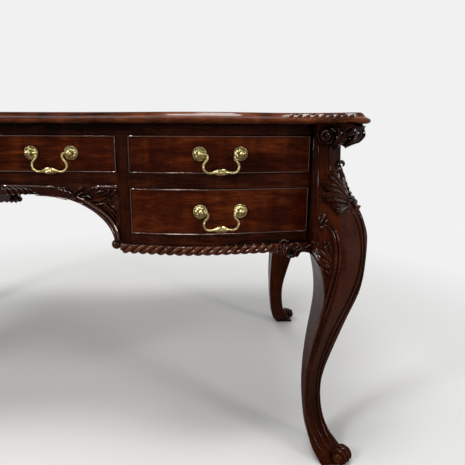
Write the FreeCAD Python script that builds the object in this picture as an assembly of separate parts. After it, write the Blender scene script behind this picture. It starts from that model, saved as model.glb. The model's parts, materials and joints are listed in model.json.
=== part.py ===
import FreeCAD, Part
import math
import os
from FreeCAD import Vector

os.makedirs("parts", exist_ok=True)

# A serpentine mahogany writing desk on four cabriole legs, in millimetres.
# The origin is on the floor under the middle of the desk, +X runs along the
# front to the right, -Y is the sitter's side and +Z is up.

# Heights, from the writing surface down
desk_height = 780.0
top_thickness = 22.0
top_rail_height = 22.0
upper_drawer_height = 79.0
mid_rail_height = 28.5
lower_drawer_height = 99.5
bottom_rail_height = 22.0
kneehole_rail_height = 25.0

case_top = desk_height - top_thickness
upper_open_top = case_top - top_rail_height
upper_open_base = upper_open_top - upper_drawer_height
lower_open_top = upper_open_base - mid_rail_height
lower_open_base = lower_open_top - lower_drawer_height
case_base = lower_open_base - bottom_rail_height
kneehole_rail_base = upper_open_base - kneehole_rail_height

# The plan, measured from the middle of the desk
kneehole_half = 268.0
pedestal_width = 407.0
divider_width = 23.5
hollow_reach = 340.0
rail_thickness = 25.0
post_set_back = 10.0
post_inner_x = kneehole_half + pedestal_width
post_inner_y = hollow_reach - post_set_back
rail_back_y = hollow_reach - rail_thickness

# The serpentine front: hollow over the knees, bowed over each pedestal. Each point
# gives how far along the pedestal it lies and how far it stands out from the hollow.
kneehole_out = 19.0
bow_out = 45.0
shoulder_out = 31.0
post_out = 11.0
bow_place_share = 0.349
shoulder_place_share = 0.681
post_reach = hollow_reach + post_out
front_points = (
    (0.0, hollow_reach),
    (kneehole_half, hollow_reach + kneehole_out),
    (kneehole_half + pedestal_width * bow_place_share, hollow_reach + bow_out),
    (kneehole_half + pedestal_width * shoulder_place_share, hollow_reach + shoulder_out),
    (post_inner_x, post_reach),
)

# Boards and panels
panel_thickness = 20.0
side_thickness = 18.0
board_thickness = 10.0
guide_height = 18.0
end_bow = 12.0

# Running clearances of the drawers
face_gap = 1.5
side_gap = 0.5
ride_gap = 0.3

# The knee: how far the leg stands out from the inner corner of its post
knee_reach = 110.0
diagonal_share = math.sqrt(0.5)

# How exactly a place is searched for along a curve, and a length past everything
search_share = 1e-9
beyond = 2 * (post_inner_x + knee_reach)


def line(a, b):
    return Part.LineSegment(a, b).toShape()


def block(x0, x1, y0, y1, z0, z1):
    """A board between two corners."""
    return Part.makeBox(x1 - x0, y1 - y0, z1 - z0, Vector(x0, y0, z0))


def flip_x(shape):
    """The same piece on the other side of the kneehole."""
    return shape.mirror(Vector(), Vector(1, 0, 0))


def flip_y(shape):
    """The same piece on the far side of the desk."""
    return shape.mirror(Vector(), Vector(0, 1, 0))


def write(node, *solids):
    """Write one sub-part; several solids make a group in one file."""
    shape = solids[0] if len(solids) == 1 else Part.makeCompound(list(solids))
    shape.exportStep("parts/" + node + ".step")


def smooth_curve(points, closed=False):
    """A curve through points that bends evenly, however far apart they lie."""
    path = points + points[:1] if closed else points
    lengths = [0.0]
    for a, b in zip(path, path[1:]):
        lengths.append(lengths[-1] + (b - a).Length)
    shares = [length / lengths[-1] for length in lengths]
    curve = Part.BSplineCurve()
    curve.interpolate(Points=points, Parameters=shares, PeriodicFlag=closed)
    return curve


def mirrored(right):
    """The right half of an outline, from the middle outwards, with its left half before it."""
    return [Vector(-p.x, p.y, p.z) for p in reversed(right[1:])] + right


def front_curve(proud):
    """The plan line of the serpentine front, moved outwards by proud."""
    return smooth_curve(mirrored([Vector(x, -reach - proud, 0) for x, reach in front_points]))


def reach_at(x):
    """How far the front stands from the middle of the desk at a place x."""
    curve = front_curve(0)
    low, high = curve.FirstParameter, curve.LastParameter
    while high - low > search_share * curve.LastParameter:
        middle = (low + high) / 2
        if curve.value(middle).x < x:
            low = middle
        else:
            high = middle
    return -curve.value(low).y


def plan_solid(outer, inner_edges, z0, z1):
    """A closed plan between the front line and the edges behind it, raised."""
    wire = Part.Wire([outer.toShape()] + inner_edges)
    solid = Part.Face(wire).extrude(Vector(0, 0, z1 - z0))
    solid.translate(Vector(0, 0, z0))
    return solid


def behind_front(z0, z1, proud, back_y):
    """All that lies between the front line and a straight line at back_y."""
    outer = front_curve(proud)
    a, b = outer.StartPoint, outer.EndPoint
    c, d = Vector(b.x, back_y, 0), Vector(a.x, back_y, 0)
    return plan_solid(outer, [line(b, c), line(c, d), line(d, a)], z0, z1)


def front_rail(x0, x1, z0, z1):
    """A rail with the serpentine face and a straight back."""
    trim = block(x0, x1, -beyond, 0, z0, z1)
    return behind_front(z0, z1, 0, -rail_back_y).common(trim)


def front_layer(x0, x1, z0, z1, proud, thickness):
    """A curved board that follows the front, with the same thickness all over."""
    outer, inner = front_curve(proud), front_curve(proud - thickness)
    ends = [line(outer.EndPoint, inner.EndPoint), inner.toShape(), line(inner.StartPoint, outer.StartPoint)]
    trim = block(x0, x1, -beyond, 0, z0, z1)
    return plan_solid(outer, ends, z0, z1).common(trim)


# Top panel: a board with an ogee edge, let in for the leather.
top_overhang = 30.0
top_side_overhang = 46.0
top_corner_over_x = 105.0
top_corner_over_y = 90.0
top_corner_x = post_inner_x + top_corner_over_x
top_corner_y = post_inner_y + top_corner_over_y
top_side_x = post_inner_x + panel_thickness + top_side_overhang
top_corner_radius = 26.0
top_side_bow = 8.0
corner_run = 68.0
corner_rise = 21.0
end_run = 66.0
end_rise = 23.0
ease_shares = ((1.0, 1.0), (0.33, 0.17))
recess_share = 2.0
corner_turns = (90, 68, 45, 22, 0)
edge_inset = 19.0
edge_profile_shares = (
    (0.0, 0.45),
    (0.06, 0.18),
    (0.16, 0.03),
    (0.28, 0.0),
    (0.40, 0.06),
    (0.50, 0.22),
    (0.58, 0.42),
    (0.66, 0.58),
    (0.80, 0.72),
    (0.92, 0.86),
    (1.0, 1.0),
)
leather_border_x = 96.0
leather_border_y = 90.0
leather_length = 2 * (top_side_x - leather_border_x)
leather_depth = 2 * (hollow_reach + top_overhang - leather_border_y)
leather_corner = 12.0
leather_thickness = 1.2
leather_recess = 1.5


def top_quarter():
    """Plan points of the top from the middle of the front to the middle of the end."""
    points = [(x, reach + top_overhang) for x, reach in front_points[:-1]]
    corner_x = top_corner_x - top_corner_radius
    corner_y = top_corner_y - top_corner_radius
    recess_x = corner_x - corner_run * recess_share
    points.append((recess_x, reach_at(recess_x) + top_overhang))
    for run, rise in ease_shares:
        points.append((corner_x - corner_run * run, top_corner_y - corner_rise * rise))
    for turn in corner_turns:
        angle = math.radians(turn)
        points.append((corner_x + top_corner_radius * math.cos(angle),
                       corner_y + top_corner_radius * math.sin(angle)))
    for run, rise in reversed(ease_shares):
        points.append((top_corner_x - end_rise * rise, corner_y - end_run * run))
    points.append((top_side_x, corner_y - end_run * recess_share))
    points.append((top_side_x + top_side_bow, 0.0))
    return points


def top_outline(inset, z):
    """The closed plan line of the top, drawn in by inset at the height z."""
    quarter = top_quarter()
    right = quarter + [(x, -y) for x, y in reversed(quarter[:-1])]
    ring = right + [(-x, y) for x, y in reversed(right[1:-1])]
    count = len(ring)
    points = []
    for i, (x, y) in enumerate(ring):
        before, after = ring[i - 1], ring[(i + 1) % count]
        along = Vector(after[0] - before[0], after[1] - before[1], 0).normalize()
        points.append(Vector(x + along.y * inset, y - along.x * inset, z))
    return Part.Wire(smooth_curve(points, closed=True).toShape())


def rounded_slab(length, depth, radius, z0, z1):
    """A flat slab, centred, with four round corners."""
    slab = block(-length / 2, length / 2, -depth / 2, depth / 2, z0, z1)
    upright = [e for e in slab.Edges if abs(e.Vertexes[0].Z - e.Vertexes[1].Z) > (z1 - z0) / 2]
    return slab.makeFillet(radius, upright)


def make_top():
    rings = [top_outline(edge_inset * inset, case_top + top_thickness * height)
             for height, inset in edge_profile_shares]
    board = Part.makeLoft(rings, True, True)
    floor = desk_height - leather_recess
    pocket = rounded_slab(leather_length, leather_depth, leather_corner, floor, desk_height + leather_recess)
    write("top_panel", board.cut(pocket))
    write("leather_skiver",
          rounded_slab(leather_length - face_gap, leather_depth - face_gap, leather_corner, floor,
                       floor + leather_thickness))


# Carcass: rails between the legs, dividers, panels and the boards that carry drawers.
bead_width = 3.0
bead_proud = 2.0
bead_depth = 10.0
panel_bead_depth = 5.0
post_gap = 4.0
guide_gap = 15.0
guide_reach = rail_back_y - guide_gap


def make_rails():
    write("top_rail_front", front_rail(-post_inner_x, post_inner_x, upper_open_top, case_top))
    write("kneehole_rail", front_rail(-kneehole_half, kneehole_half, kneehole_rail_base, upper_open_base))
    inner = kneehole_half + divider_width
    rails = (("mid_rail", lower_open_top, upper_open_base), ("bottom_rail", case_base, lower_open_base))
    for name, z0, z1 in rails:
        rail = front_rail(inner, post_inner_x, z0, z1)
        write(name + "_right", rail)
        write(name + "_left", flip_x(rail))
    divider = front_rail(kneehole_half, inner, case_base, upper_open_top)
    write("divider_right", divider)
    write("divider_left", flip_x(divider))


def make_kneehole_sides():
    """Pedestal walls beside the knees, from the divider to the back panel."""
    x1 = kneehole_half + side_thickness
    wall = block(kneehole_half, x1, -rail_back_y, beyond, case_base, case_top)
    room = flip_y(behind_front(case_base, case_top, -panel_thickness, rail_back_y))
    wall = wall.common(room)
    write("kneehole_side_right", wall)
    write("kneehole_side_left", flip_x(wall))


def make_end_panels():
    """A panel between the two legs at each end, bowed a little outwards."""
    flat = post_inner_x + panel_thickness
    ends = [Vector(flat, -post_inner_y, case_base), Vector(flat, post_inner_y, case_base)]
    inner = [Vector(post_inner_x, post_inner_y, case_base), Vector(post_inner_x, -post_inner_y, case_base)]
    bow = Part.Arc(ends[0], Vector(flat + end_bow, 0, case_base), ends[1]).toShape()
    wire = Part.Wire([bow, line(ends[1], inner[0]), line(inner[0], inner[1]), line(inner[1], ends[0])])
    panel = Part.Face(wire).extrude(Vector(0, 0, case_top - case_base))
    write("end_panel_right", panel)
    write("end_panel_left", flip_x(panel))


def bead_frame(x0, x1, z0, z1, depth):
    """A thin raised bead round a drawer front, or round a panel that imitates one."""
    outer = front_layer(x0, x1, z0, z1, bead_proud, bead_proud + depth)
    inside = block(x0 + bead_width, x1 - bead_width, -beyond, 0, z0 + bead_width, z1 - bead_width)
    return outer.cut(inside)


def make_back():
    """Back panels, with beads that repeat the drawers of the front."""
    x0 = kneehole_half
    panel = front_layer(x0, post_inner_x, case_base, case_top, 0, panel_thickness)
    left_edge = x0 + divider_width + face_gap
    right_edge = post_inner_x - post_gap
    for z0, z1 in ((upper_open_base, upper_open_top), (lower_open_base, lower_open_top)):
        panel = panel.fuse(bead_frame(left_edge, right_edge, z0 + face_gap, z1 - face_gap, panel_bead_depth))
    middle = front_layer(-x0, x0, kneehole_rail_base, case_top, 0, panel_thickness)
    middle = middle.fuse(bead_frame(-x0 + face_gap, x0 - face_gap, upper_open_base + face_gap,
                                    upper_open_top - face_gap, panel_bead_depth))
    panel = flip_y(panel)
    write("back_panels", panel, flip_y(middle), flip_x(panel))


def make_boards():
    """The boards that carry the drawers, each with a guide strip at both sides."""
    wall = kneehole_half + side_thickness
    solids = []
    for z in (upper_open_base, lower_open_base):
        solids.append(block(wall, post_inner_x, -rail_back_y, rail_back_y, z - board_thickness, z))
        for x0, x1 in ((wall, pedestal_box_x0 - side_gap), (pedestal_box_x1 + side_gap, post_inner_x)):
            solids.append(block(x0, x1, -guide_reach, guide_reach, z, z + guide_height))
    write("dust_boards_right", *solids)
    write("dust_boards_left", *[flip_x(s) for s in solids])
    z = upper_open_base
    board = block(-kneehole_half, kneehole_half, -rail_back_y, rail_back_y, z - board_thickness, z)
    guide = block(centre_box_x1 + side_gap, kneehole_half, -guide_reach, guide_reach, z, z + guide_height)
    write("centre_board", board, guide, flip_x(guide))


# Apron: an arch under the kneehole rail, with a raised band and a ball at each end.
apron_mid_depth = 20.5
apron_leg_depth = 120.0
apron_thickness = 22.0
band_width = 16.0
band_proud = 4.0
ball_radius = 10.7
ball_set = 9.0
ball_drop_share = 0.85
ball_out_share = 0.10
arch_shares = (
    (0.0, 0.0),
    (0.31, 0.0),
    (0.54, 0.064),
    (0.691, 0.205),
    (0.842, 0.47),
    (0.93, 0.782),
    (0.952, 1.0),
)


def arch_curve():
    """The underside of the apron in the plane of the front."""
    drop = apron_leg_depth - apron_mid_depth
    top = kneehole_rail_base - apron_mid_depth
    return smooth_curve(mirrored([Vector(kneehole_half * x, 0, top - drop * z) for x, z in arch_shares]))


def across_front(wire, proud, thickness):
    """A flat outline in the plane of the front, cut through a curved board."""
    face = Part.Face(wire)
    face.translate(Vector(0, -beyond, 0))
    prism = face.extrude(Vector(0, beyond, 0))
    box = wire.BoundBox
    layer = front_layer(-kneehole_half, kneehole_half, box.ZMin, box.ZMax, proud, thickness)
    return layer.common(prism)


def make_apron():
    arch = arch_curve()
    a, b = arch.StartPoint, arch.EndPoint
    foot = [Vector(kneehole_half, 0, b.z), Vector(-kneehole_half, 0, a.z)]
    head = [Vector(kneehole_half, 0, kneehole_rail_base), Vector(-kneehole_half, 0, kneehole_rail_base)]
    outline = [arch.toShape(), line(b, foot[0]), line(foot[0], head[0]), line(head[0], head[1]),
               line(head[1], foot[1]), line(foot[1], a)]
    apron = across_front(Part.Wire(outline), 0, apron_thickness)
    steps = 4 * len(arch_shares)
    upper = []
    for i in range(steps + 1):
        t = arch.FirstParameter + (arch.LastParameter - arch.FirstParameter) * i / steps
        along = arch.tangent(t)[0]
        upper.append(arch.value(t) + Vector(-along.z, 0, along.x) * band_width)
    edge = smooth_curve(upper)
    band = Part.Wire([arch.toShape(), line(b, edge.EndPoint), edge.toShape(), line(edge.StartPoint, a)])
    apron = apron.fuse(across_front(band, band_proud, band_proud + apron_thickness / 2))
    ball_x = b.x + ball_radius * ball_out_share
    for side in (-1, 1):
        centre = Vector(side * ball_x, -reach_at(ball_x) + ball_set, b.z - ball_drop_share * ball_radius)
        apron = apron.fuse(Part.makeSphere(ball_radius, centre))
    trim = block(-kneehole_half, kneehole_half, -beyond, 0, 0, case_top)
    apron = apron.common(trim)
    write("apron_front", apron)
    write("apron_rear", flip_y(apron))


# Rope moulding: a carved round under the bottom rail, flat where it is glued on.
rope_radius = 11.0
rope_seat = 9.0
rope_divider_gap = 4.0
rope_post_gap = 63.0
rope_start = kneehole_half + rope_divider_gap
rope_end = post_inner_x - rope_post_gap
rope_end_half = post_inner_y - rope_post_gap
rope_sections = 9


def rope_along(places):
    """A round moulding through a row of places, cut flat under the rail."""
    rings = []
    for i, place in enumerate(places):
        before, after = places[max(i - 1, 0)], places[min(i + 1, len(places) - 1)]
        rings.append(Part.Wire(Part.makeCircle(rope_radius, place, after - before)))
    rope = Part.makeLoft(rings, True)
    return rope.cut(block(-beyond, beyond, -beyond, beyond, case_base, case_top))


def make_ropes():
    """The front and end mouldings of the right side, written with their copies."""
    z = case_base - rope_seat
    places = []
    for i in range(rope_sections):
        x = rope_start + (rope_end - rope_start) * i / (rope_sections - 1)
        places.append(Vector(x, -reach_at(x), z))
    rope = rope_along(places)
    write("rope_front_right", rope)
    write("rope_front_left", flip_x(rope))
    places = []
    for i in range(rope_sections):
        y = rope_end_half * (2 * i / (rope_sections - 1) - 1)
        out = end_bow * (1 - (y / post_inner_y) ** 2)
        places.append(Vector(post_inner_x + panel_thickness + out - rope_radius / 2, y, z))
    end_rope = rope_along(places)
    write("rope_rear_and_ends", flip_y(rope), flip_y(flip_x(rope)), end_rope, flip_x(end_rope))
    return rope, end_rope


# Leg: a post in the corner of the carcass that swells into a knee, narrows to the
# ankle and turns out to a scroll toe. Its outer corner is cut off at 45 degrees.
# Each station gives a height share, then the inner face, the outer face and the
# width of the cut corner. Beside the case the inner faces are cut off at the post.
leg_shares = (
    (0.0, 0.329, 0.883, 0.205),
    (0.026, 0.248, 0.789, 0.248),
    (0.063, 0.151, 0.647, 0.302),
    (0.132, 0.076, 0.494, 0.333),
    (0.213, 0.034, 0.428, 0.328),
    (0.306, 0.008, 0.426, 0.341),
    (0.434, 0.016, 0.552, 0.441),
    (0.552, 0.054, 0.721, 0.552),
    (0.671, 0.114, 0.894, 0.645),
    (0.789, 0.152, 1.060, 0.720),
    (0.897, 0.106, 1.108, 0.706),
    (1.0, 0.0, 1.114, 0.694),
)
post_shares = (
    (0.151, -0.090, 1.062, 0.657),
    (0.291, -0.145, 0.939, 0.550),
    (0.418, -0.168, 0.743, 0.386),
    (0.550, -0.168, 0.591, 0.270),
    (0.689, -0.158, 0.537, 0.249),
    (0.841, -0.154, 0.524, 0.246),
    (1.0, -0.154, 0.579, 0.272),
)
leaf_shares = ((0.80, 0.60, 0.06), (0.90, 0.84, 0.17), (0.94, 1.01, 0.18), (1.0, 0.97, 0.20))
leaf_root_share = 0.30
volute_radius = 14.0
volute_place = 20.0
volute_depth = 16.0
volute_proud = 8.0
volute_drop = 24.0
volute_height = case_top - volute_drop
toe_radius = 17.0
toe_width = 30.0
toe_reach = 119.0
toe_eye_share = 0.75
post_width = 44.0


def corner_point(out_x, out_y, z):
    """A point at the front right leg, measured from the inner corner of its post."""
    return Vector(post_inner_x + out_x, -post_inner_y - out_y, z)


def leg_ring(z, inner, outer, cut):
    a, b, c = knee_reach * inner, knee_reach * outer, knee_reach * cut
    corners = [corner_point(a, a, z), corner_point(b, a, z), corner_point(b, b - c, z),
               corner_point(b - c, b, z), corner_point(a, b, z)]
    return Part.makePolygon(corners + corners[:1])


def diagonal_ring(z, reach, half_width):
    """A four-sided section across the diagonal of the leg."""
    root = knee_reach * leaf_root_share
    out, half = knee_reach * reach, knee_reach * half_width
    corners = []
    for d, w in ((root, -half), (out, -half), (out, half), (root, half)):
        corners.append(corner_point((d + w) * diagonal_share, (d - w) * diagonal_share, z))
    return Part.makePolygon(corners + corners[:1])


def across_diagonal(shape):
    """The same piece on the other side of the leg's diagonal."""
    return shape.mirror(corner_point(0, 0, 0), Vector(1, 1, 0))


def leg_outer_at(z):
    """The outer face of the neck at a height, from its nearest stations."""
    rows = [(case_base + (case_top - case_base) * s[0], s[2]) for s in post_shares]
    for (z0, out0), (z1, out1) in zip(rows, rows[1:]):
        if z0 <= z <= z1:
            return knee_reach * (out0 + (out1 - out0) * (z - z0) / (z1 - z0))
    return knee_reach * rows[-1][1]


def make_leg():
    rings = [leg_ring(case_base * h, a, b, c) for h, a, b, c in leg_shares]
    rise = case_top - case_base
    rings += [leg_ring(case_base + rise * h, a, b, c) for h, a, b, c in post_shares]
    leg = Part.makeLoft(rings, True)
    leaf = Part.makeLoft([diagonal_ring(case_base + rise * h, d, w) for h, d, w in leaf_shares], True)
    face = leg_outer_at(volute_height)
    centre = corner_point(volute_place, face + volute_proud, volute_height)
    volute = Part.makeCylinder(volute_radius, volute_depth, centre, Vector(0, 1, 0))
    volute = volute.fuse(Part.makeSphere(volute_radius / 2, centre))
    across = Vector(diagonal_share, diagonal_share, 0)
    toe = corner_point(toe_reach * diagonal_share, toe_reach * diagonal_share, toe_radius)
    scroll = Part.makeCylinder(toe_radius, toe_width, toe - across * (toe_width / 2), across)
    for side in (-1, 1):
        eye = Part.makeSphere(toe_radius * toe_eye_share, toe + across * (side * toe_width / 2))
        scroll = scroll.fuse(eye)
    y0, y1 = -post_inner_y - post_width, -post_inner_y
    post = block(post_inner_x, post_inner_x + post_width, y0, y1, case_base, case_top)
    leg = leg.fuse([post, leaf, volute, across_diagonal(volute), scroll])
    leg = leg.cut(block(0, post_inner_x, -beyond, 0, case_base, case_top))
    leg = leg.cut(block(0, beyond, -post_inner_y, 0, case_base, case_top))
    return leg.removeSplitter()


# Knee bracket: the small scrolled arch between the leg and the rope moulding.
bracket_rope_gap = 1.0
bracket_outer = rope_post_gap - bracket_rope_gap
bracket_hook_drop = 29.0
bracket_thickness = 30.0
bracket_set = 22.0
bracket_into_leg_share = 0.24
bracket_outline_shares = (
    (0.0, 0.10),
    (0.16, 0.16),
    (0.26, 0.34),
    (0.33, 0.72),
    (0.385, 1.0),
    (0.435, 0.86),
    (0.47, 0.66),
    (0.58, 0.60),
    (0.70, 0.70),
    (0.82, 1.0),
    (0.92, 1.50),
    (1.0, 2.2),
)


def make_bracket(leg):
    """An outline in the plane of the front, scribed to the leg that it ends against."""
    left = post_inner_x - bracket_outer
    width = bracket_outer + knee_reach * bracket_into_leg_share
    points = []
    for x, z in bracket_outline_shares:
        points.append(Vector(left + width * x, 0, case_base - bracket_hook_drop * z))
    under = smooth_curve(points)
    a, b = points[0], points[-1]
    c, d = Vector(b.x, 0, case_base), Vector(a.x, 0, case_base)
    face = Part.Face(Part.Wire([under.toShape(), line(b, c), line(c, d), line(d, a)]))
    face.translate(Vector(0, -post_reach - bracket_set, 0))
    bracket = face.extrude(Vector(0, bracket_thickness, 0)).cut(leg)
    return min(bracket.Solids, key=lambda s: s.CenterOfMass.x)


def make_legs(rope, end_rope):
    leg = make_leg()
    write("leg_front_right", leg)
    write("leg_front_left", flip_x(leg))
    write("leg_rear_right", flip_y(leg))
    write("leg_rear_left", flip_x(flip_y(leg)))
    front = make_bracket(leg)
    side = across_diagonal(front)
    front = front.cut(block(0, rope_end, -beyond, 0, 0, case_base)).cut(rope)
    side = side.cut(block(0, beyond, -rope_end_half, 0, 0, case_base)).cut(end_rope)
    pair = [front, side, flip_x(front), flip_x(side)]
    write("knee_brackets_front", *pair)
    write("knee_brackets_rear", *[flip_y(s) for s in pair])


# Drawers: a curved front with a bead round it, thin sides and back, a bottom let
# into grooves, and one or two swan-neck handles.
box_inset = 4.0
box_wall = 9.0
box_top_gap = 8.0
bottom_rise = 8.0
bottom_thickness = 6.0
groove_depth = 4.0
drawer_back_gap = 115.0
drawer_back_y = rail_back_y - drawer_back_gap
pedestal_x0 = kneehole_half + divider_width + face_gap
pedestal_x1 = post_inner_x - post_gap
pedestal_box_x0 = pedestal_x0 + box_inset
pedestal_box_x1 = pedestal_x1 - box_inset
centre_box_x1 = kneehole_half - face_gap - box_inset

# Handles: two rosettes with posts, and a bail that hangs between them.
handle_half = 42.0
handle_rise = 2.0
centre_handle_x = 130.0
rosette_radius = 14.5
rosette_seat = 4.0
rosette_dome = 5.0
rosette_shares = ((1.0, 0.32), (0.93, 0.51), (0.80, 0.38), (0.60, 0.80))
stem_radius = 4.0
post_ball_radius = 6.5
pivot_out = 15.0
pin_radius = 2.0
pin_clearance = 0.05
pin_stop = 2.5
bore_stop = 1.0
pin_end = handle_half - pin_stop
bore_end = handle_half - bore_stop
wire_radius = 2.4
wire_gap = 1.0
wire_start = handle_half - post_ball_radius - wire_gap
bend_share = 0.45
straight_turn = 1e-6
bail_shares = (
    (0.643, 0.0),
    (0.65, 0.30),
    (0.87, 0.52),
    (0.87, 0.80),
    (0.62, 1.06),
    (0.30, 0.97),
    (0.0, 0.97),
)
bail_drop = 37.5
boss_half = 10.0
boss_radius = 5.0
bolt_radius = 2.5
bolt_clearance = 0.25
nut_radius = 6.0
nut_thickness = 3.0
nut_seat = 2.5
drawer_front_thickness = 20.0


def rounded_path(points):
    """Straight runs joined by tangent arcs that use most of the shorter run."""
    edges = []
    last = points[0]
    for a, b, c in zip(points, points[1:], points[2:]):
        into, away = (b - a).normalize(), (c - b).normalize()
        turn = into.getAngle(away)
        if turn < straight_turn:
            continue
        back = bend_share * min((b - a).Length, (c - b).Length)
        start, end = b - into * back, b + away * back
        radius = back / math.tan(turn / 2)
        bulge = radius / math.cos(turn / 2) - radius
        middle = b + (away - into).normalize() * bulge
        edges += [line(last, start), Part.Arc(start, middle, end).toShape()]
        last = end
    edges.append(line(last, points[-1]))
    return Part.Wire(edges)


def make_bail():
    """The bail in its own frame: hinge line along X, hanging down, front to -Y."""
    half = [Vector(handle_half * x, 0, -bail_drop * z) for x, z in bail_shares]
    points = [Vector(wire_start, 0, 0)] + half
    points += [Vector(-p.x, 0, p.z) for p in reversed(points[:-1])]
    path = rounded_path(points)
    ring = Part.Wire(Part.makeCircle(wire_radius, points[0], Vector(1, 0, 0)))
    bail = path.makePipeShell([ring], True, False)
    z = half[-1].z
    tip = z + wire_radius / 2
    a, b = Vector(-boss_half, 0, tip), Vector(boss_half, 0, tip)
    arc = Part.Arc(a, Vector(0, 0, z + boss_radius), b).toShape()
    c, d = Vector(b.x, 0, z), Vector(a.x, 0, z)
    boss = Part.Face(Part.Wire([arc, line(b, c), line(c, d), line(d, a)]))
    bail = bail.fuse(boss.revolve(Vector(0, 0, z), Vector(1, 0, 0), 360))
    for side in (-1, 1):
        start = Vector(side * wire_start, 0, 0)
        bail = bail.fuse(Part.makeCylinder(pin_radius, pin_end - wire_start, start, Vector(side, 0, 0)))
    bail.translate(Vector(0, -pivot_out, 0))
    return bail


def make_mount(side):
    """One rosette with its post and bolt, in the handle's own frame."""
    x = side * handle_half
    points = [Vector(x, rosette_seat, 0), Vector(x + rosette_radius, rosette_seat, 0)]
    points += [Vector(x + rosette_radius * r, -rosette_dome * y, 0) for r, y in rosette_shares]
    points += [Vector(x + stem_radius, -rosette_dome, 0), Vector(x, -rosette_dome, 0)]
    face = Part.Face(Part.makePolygon(points + points[:1]))
    rosette = face.revolve(Vector(x, 0, 0), Vector(0, 1, 0), 360)
    stem = Part.makeCylinder(stem_radius, pivot_out, Vector(x, 0, 0), Vector(0, -1, 0))
    ball = Part.makeSphere(post_ball_radius, Vector(x, -pivot_out, 0))
    middle = Vector(0, -pivot_out, 0)
    bore = Part.makeCylinder(pin_radius + pin_clearance, bore_end, middle, Vector(side, 0, 0))
    return rosette.fuse([stem, ball]).cut(bore)


def make_bolt(side):
    """The threaded shank through the drawer front, its nut, and their stepped hole."""
    x = side * handle_half
    seat = drawer_front_thickness - nut_seat
    length = seat + 2 * nut_thickness
    inward = Vector(0, 1, 0)
    shank = Part.makeCylinder(bolt_radius, length, Vector(x, 0, 0), inward)
    nut = Part.makeCylinder(nut_radius, nut_thickness, Vector(x, seat, 0), inward)
    narrow, wide = bolt_radius + bolt_clearance, nut_radius + bolt_clearance
    steps = ((0, -bolt_clearance), (narrow, -bolt_clearance), (narrow, seat), (wide, seat), (wide, length), (0, length))
    points = [Vector(x + r, y, 0) for r, y in steps]
    hole = Part.Face(Part.makePolygon(points + points[:1])).revolve(Vector(x, 0, 0), inward, 360)
    return shank, hole, nut


def handle_frame(x, z):
    """The place of a handle on the curved front: its middle and its turn about Z."""
    left, right = x - handle_half, x + handle_half
    y_left, y_right = -reach_at(abs(left)), -reach_at(abs(right))
    turn = math.degrees(math.atan2(y_right - y_left, right - left))
    return FreeCAD.Placement(Vector(x, (y_left + y_right) / 2, z), FreeCAD.Rotation(Vector(0, 0, 1), turn))


def drawer_back_room(z0, z1):
    """The space behind the inner face of the drawer fronts."""
    return behind_front(z0, z1, -drawer_front_thickness, drawer_back_y)


def make_drawer(x0, x1, z0, z1, handles):
    """All solids of one drawer, by name."""
    bead = bead_frame(x0, x1, z0, z1, bead_depth)
    front = front_layer(x0, x1, z0, z1, 0, drawer_front_thickness).cut(bead)
    base = z0 - face_gap + ride_gap
    inner0, inner1 = x0 + box_inset, x1 - box_inset
    far = -beyond
    top = z1 - box_top_gap
    room = drawer_back_room(base, top)
    walls = [block(inner0, inner0 + box_wall, far, drawer_back_y, base, top).common(room),
             block(inner1 - box_wall, inner1, far, drawer_back_y, base, top).common(room),
             block(inner0 + box_wall, inner1 - box_wall, drawer_back_y - box_wall, drawer_back_y, base, top)]
    floor0 = z0 + bottom_rise
    floor1 = floor0 + bottom_thickness
    room = behind_front(floor0, floor1, groove_depth - drawer_front_thickness, drawer_back_y)
    edge0, edge1 = inner0 + box_wall - groove_depth, inner1 - box_wall + groove_depth
    back = drawer_back_y - box_wall + groove_depth
    bottom = block(edge0, edge1, far, back, floor0, floor1).common(room)
    front = front.cut(bottom)
    walls = [wall.cut(bottom) for wall in walls]
    mounts, bails = [], []
    for x in handles:
        place = handle_frame(x, (z0 + z1) / 2 + handle_rise)
        for side in (-1, 1):
            mount = make_mount(side)
            shank, hole, nut = make_bolt(side)
            for piece in (mount, shank, hole, nut):
                piece.Placement = place.multiply(piece.Placement)
            front = front.cut(hole)
            mounts.append(mount.cut(front).fuse(shank).removeSplitter())
            mounts.append(nut.cut(shank))
        bail = make_bail()
        bail.Placement = place.multiply(bail.Placement)
        bails.append(bail)
    return {"front": front, "bead": bead, "walls": walls, "bottom": bottom, "mounts": mounts, "bails": bails}


def write_drawer(name, drawer, change):
    """Write the sub-parts of one drawer, turned to the side of the desk it is on."""
    write("drawer_front_" + name, change(drawer["front"]))
    write("drawer_bead_" + name, change(drawer["bead"]))
    write("drawer_box_" + name, *[change(s) for s in drawer["walls"]])
    write("drawer_bottom_" + name, change(drawer["bottom"]))
    write("handle_mounts_" + name, *[change(s) for s in drawer["mounts"]])


def make_drawers():
    rows = (("upper", upper_open_base, upper_open_top), ("lower", lower_open_base, lower_open_top))
    middle = (pedestal_x0 + pedestal_x1) / 2
    for row, base, top in rows:
        drawer = make_drawer(pedestal_x0, pedestal_x1, base + face_gap, top - face_gap, (middle,))
        for side, change in (("right", lambda s: s), ("left", flip_x)):
            write_drawer(side + "_" + row, drawer, change)
            write("bail_" + side + "_" + row, change(drawer["bails"][0]))
    half = kneehole_half - face_gap
    drawer = make_drawer(-half, half, upper_open_base + face_gap, upper_open_top - face_gap,
                         (-centre_handle_x, centre_handle_x))
    write_drawer("centre", drawer, lambda s: s)
    write("bail_centre_left", drawer["bails"][0])
    write("bail_centre_right", drawer["bails"][1])


make_top()
make_rails()
make_kneehole_sides()
make_end_panels()
make_back()
make_boards()
make_apron()
front_rope, side_rope = make_ropes()
make_legs(front_rope, side_rope)
make_drawers()
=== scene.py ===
import bpy
import json
import math
from mathutils import Matrix, Vector
from mathutils.bvhtree import BVHTree

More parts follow.
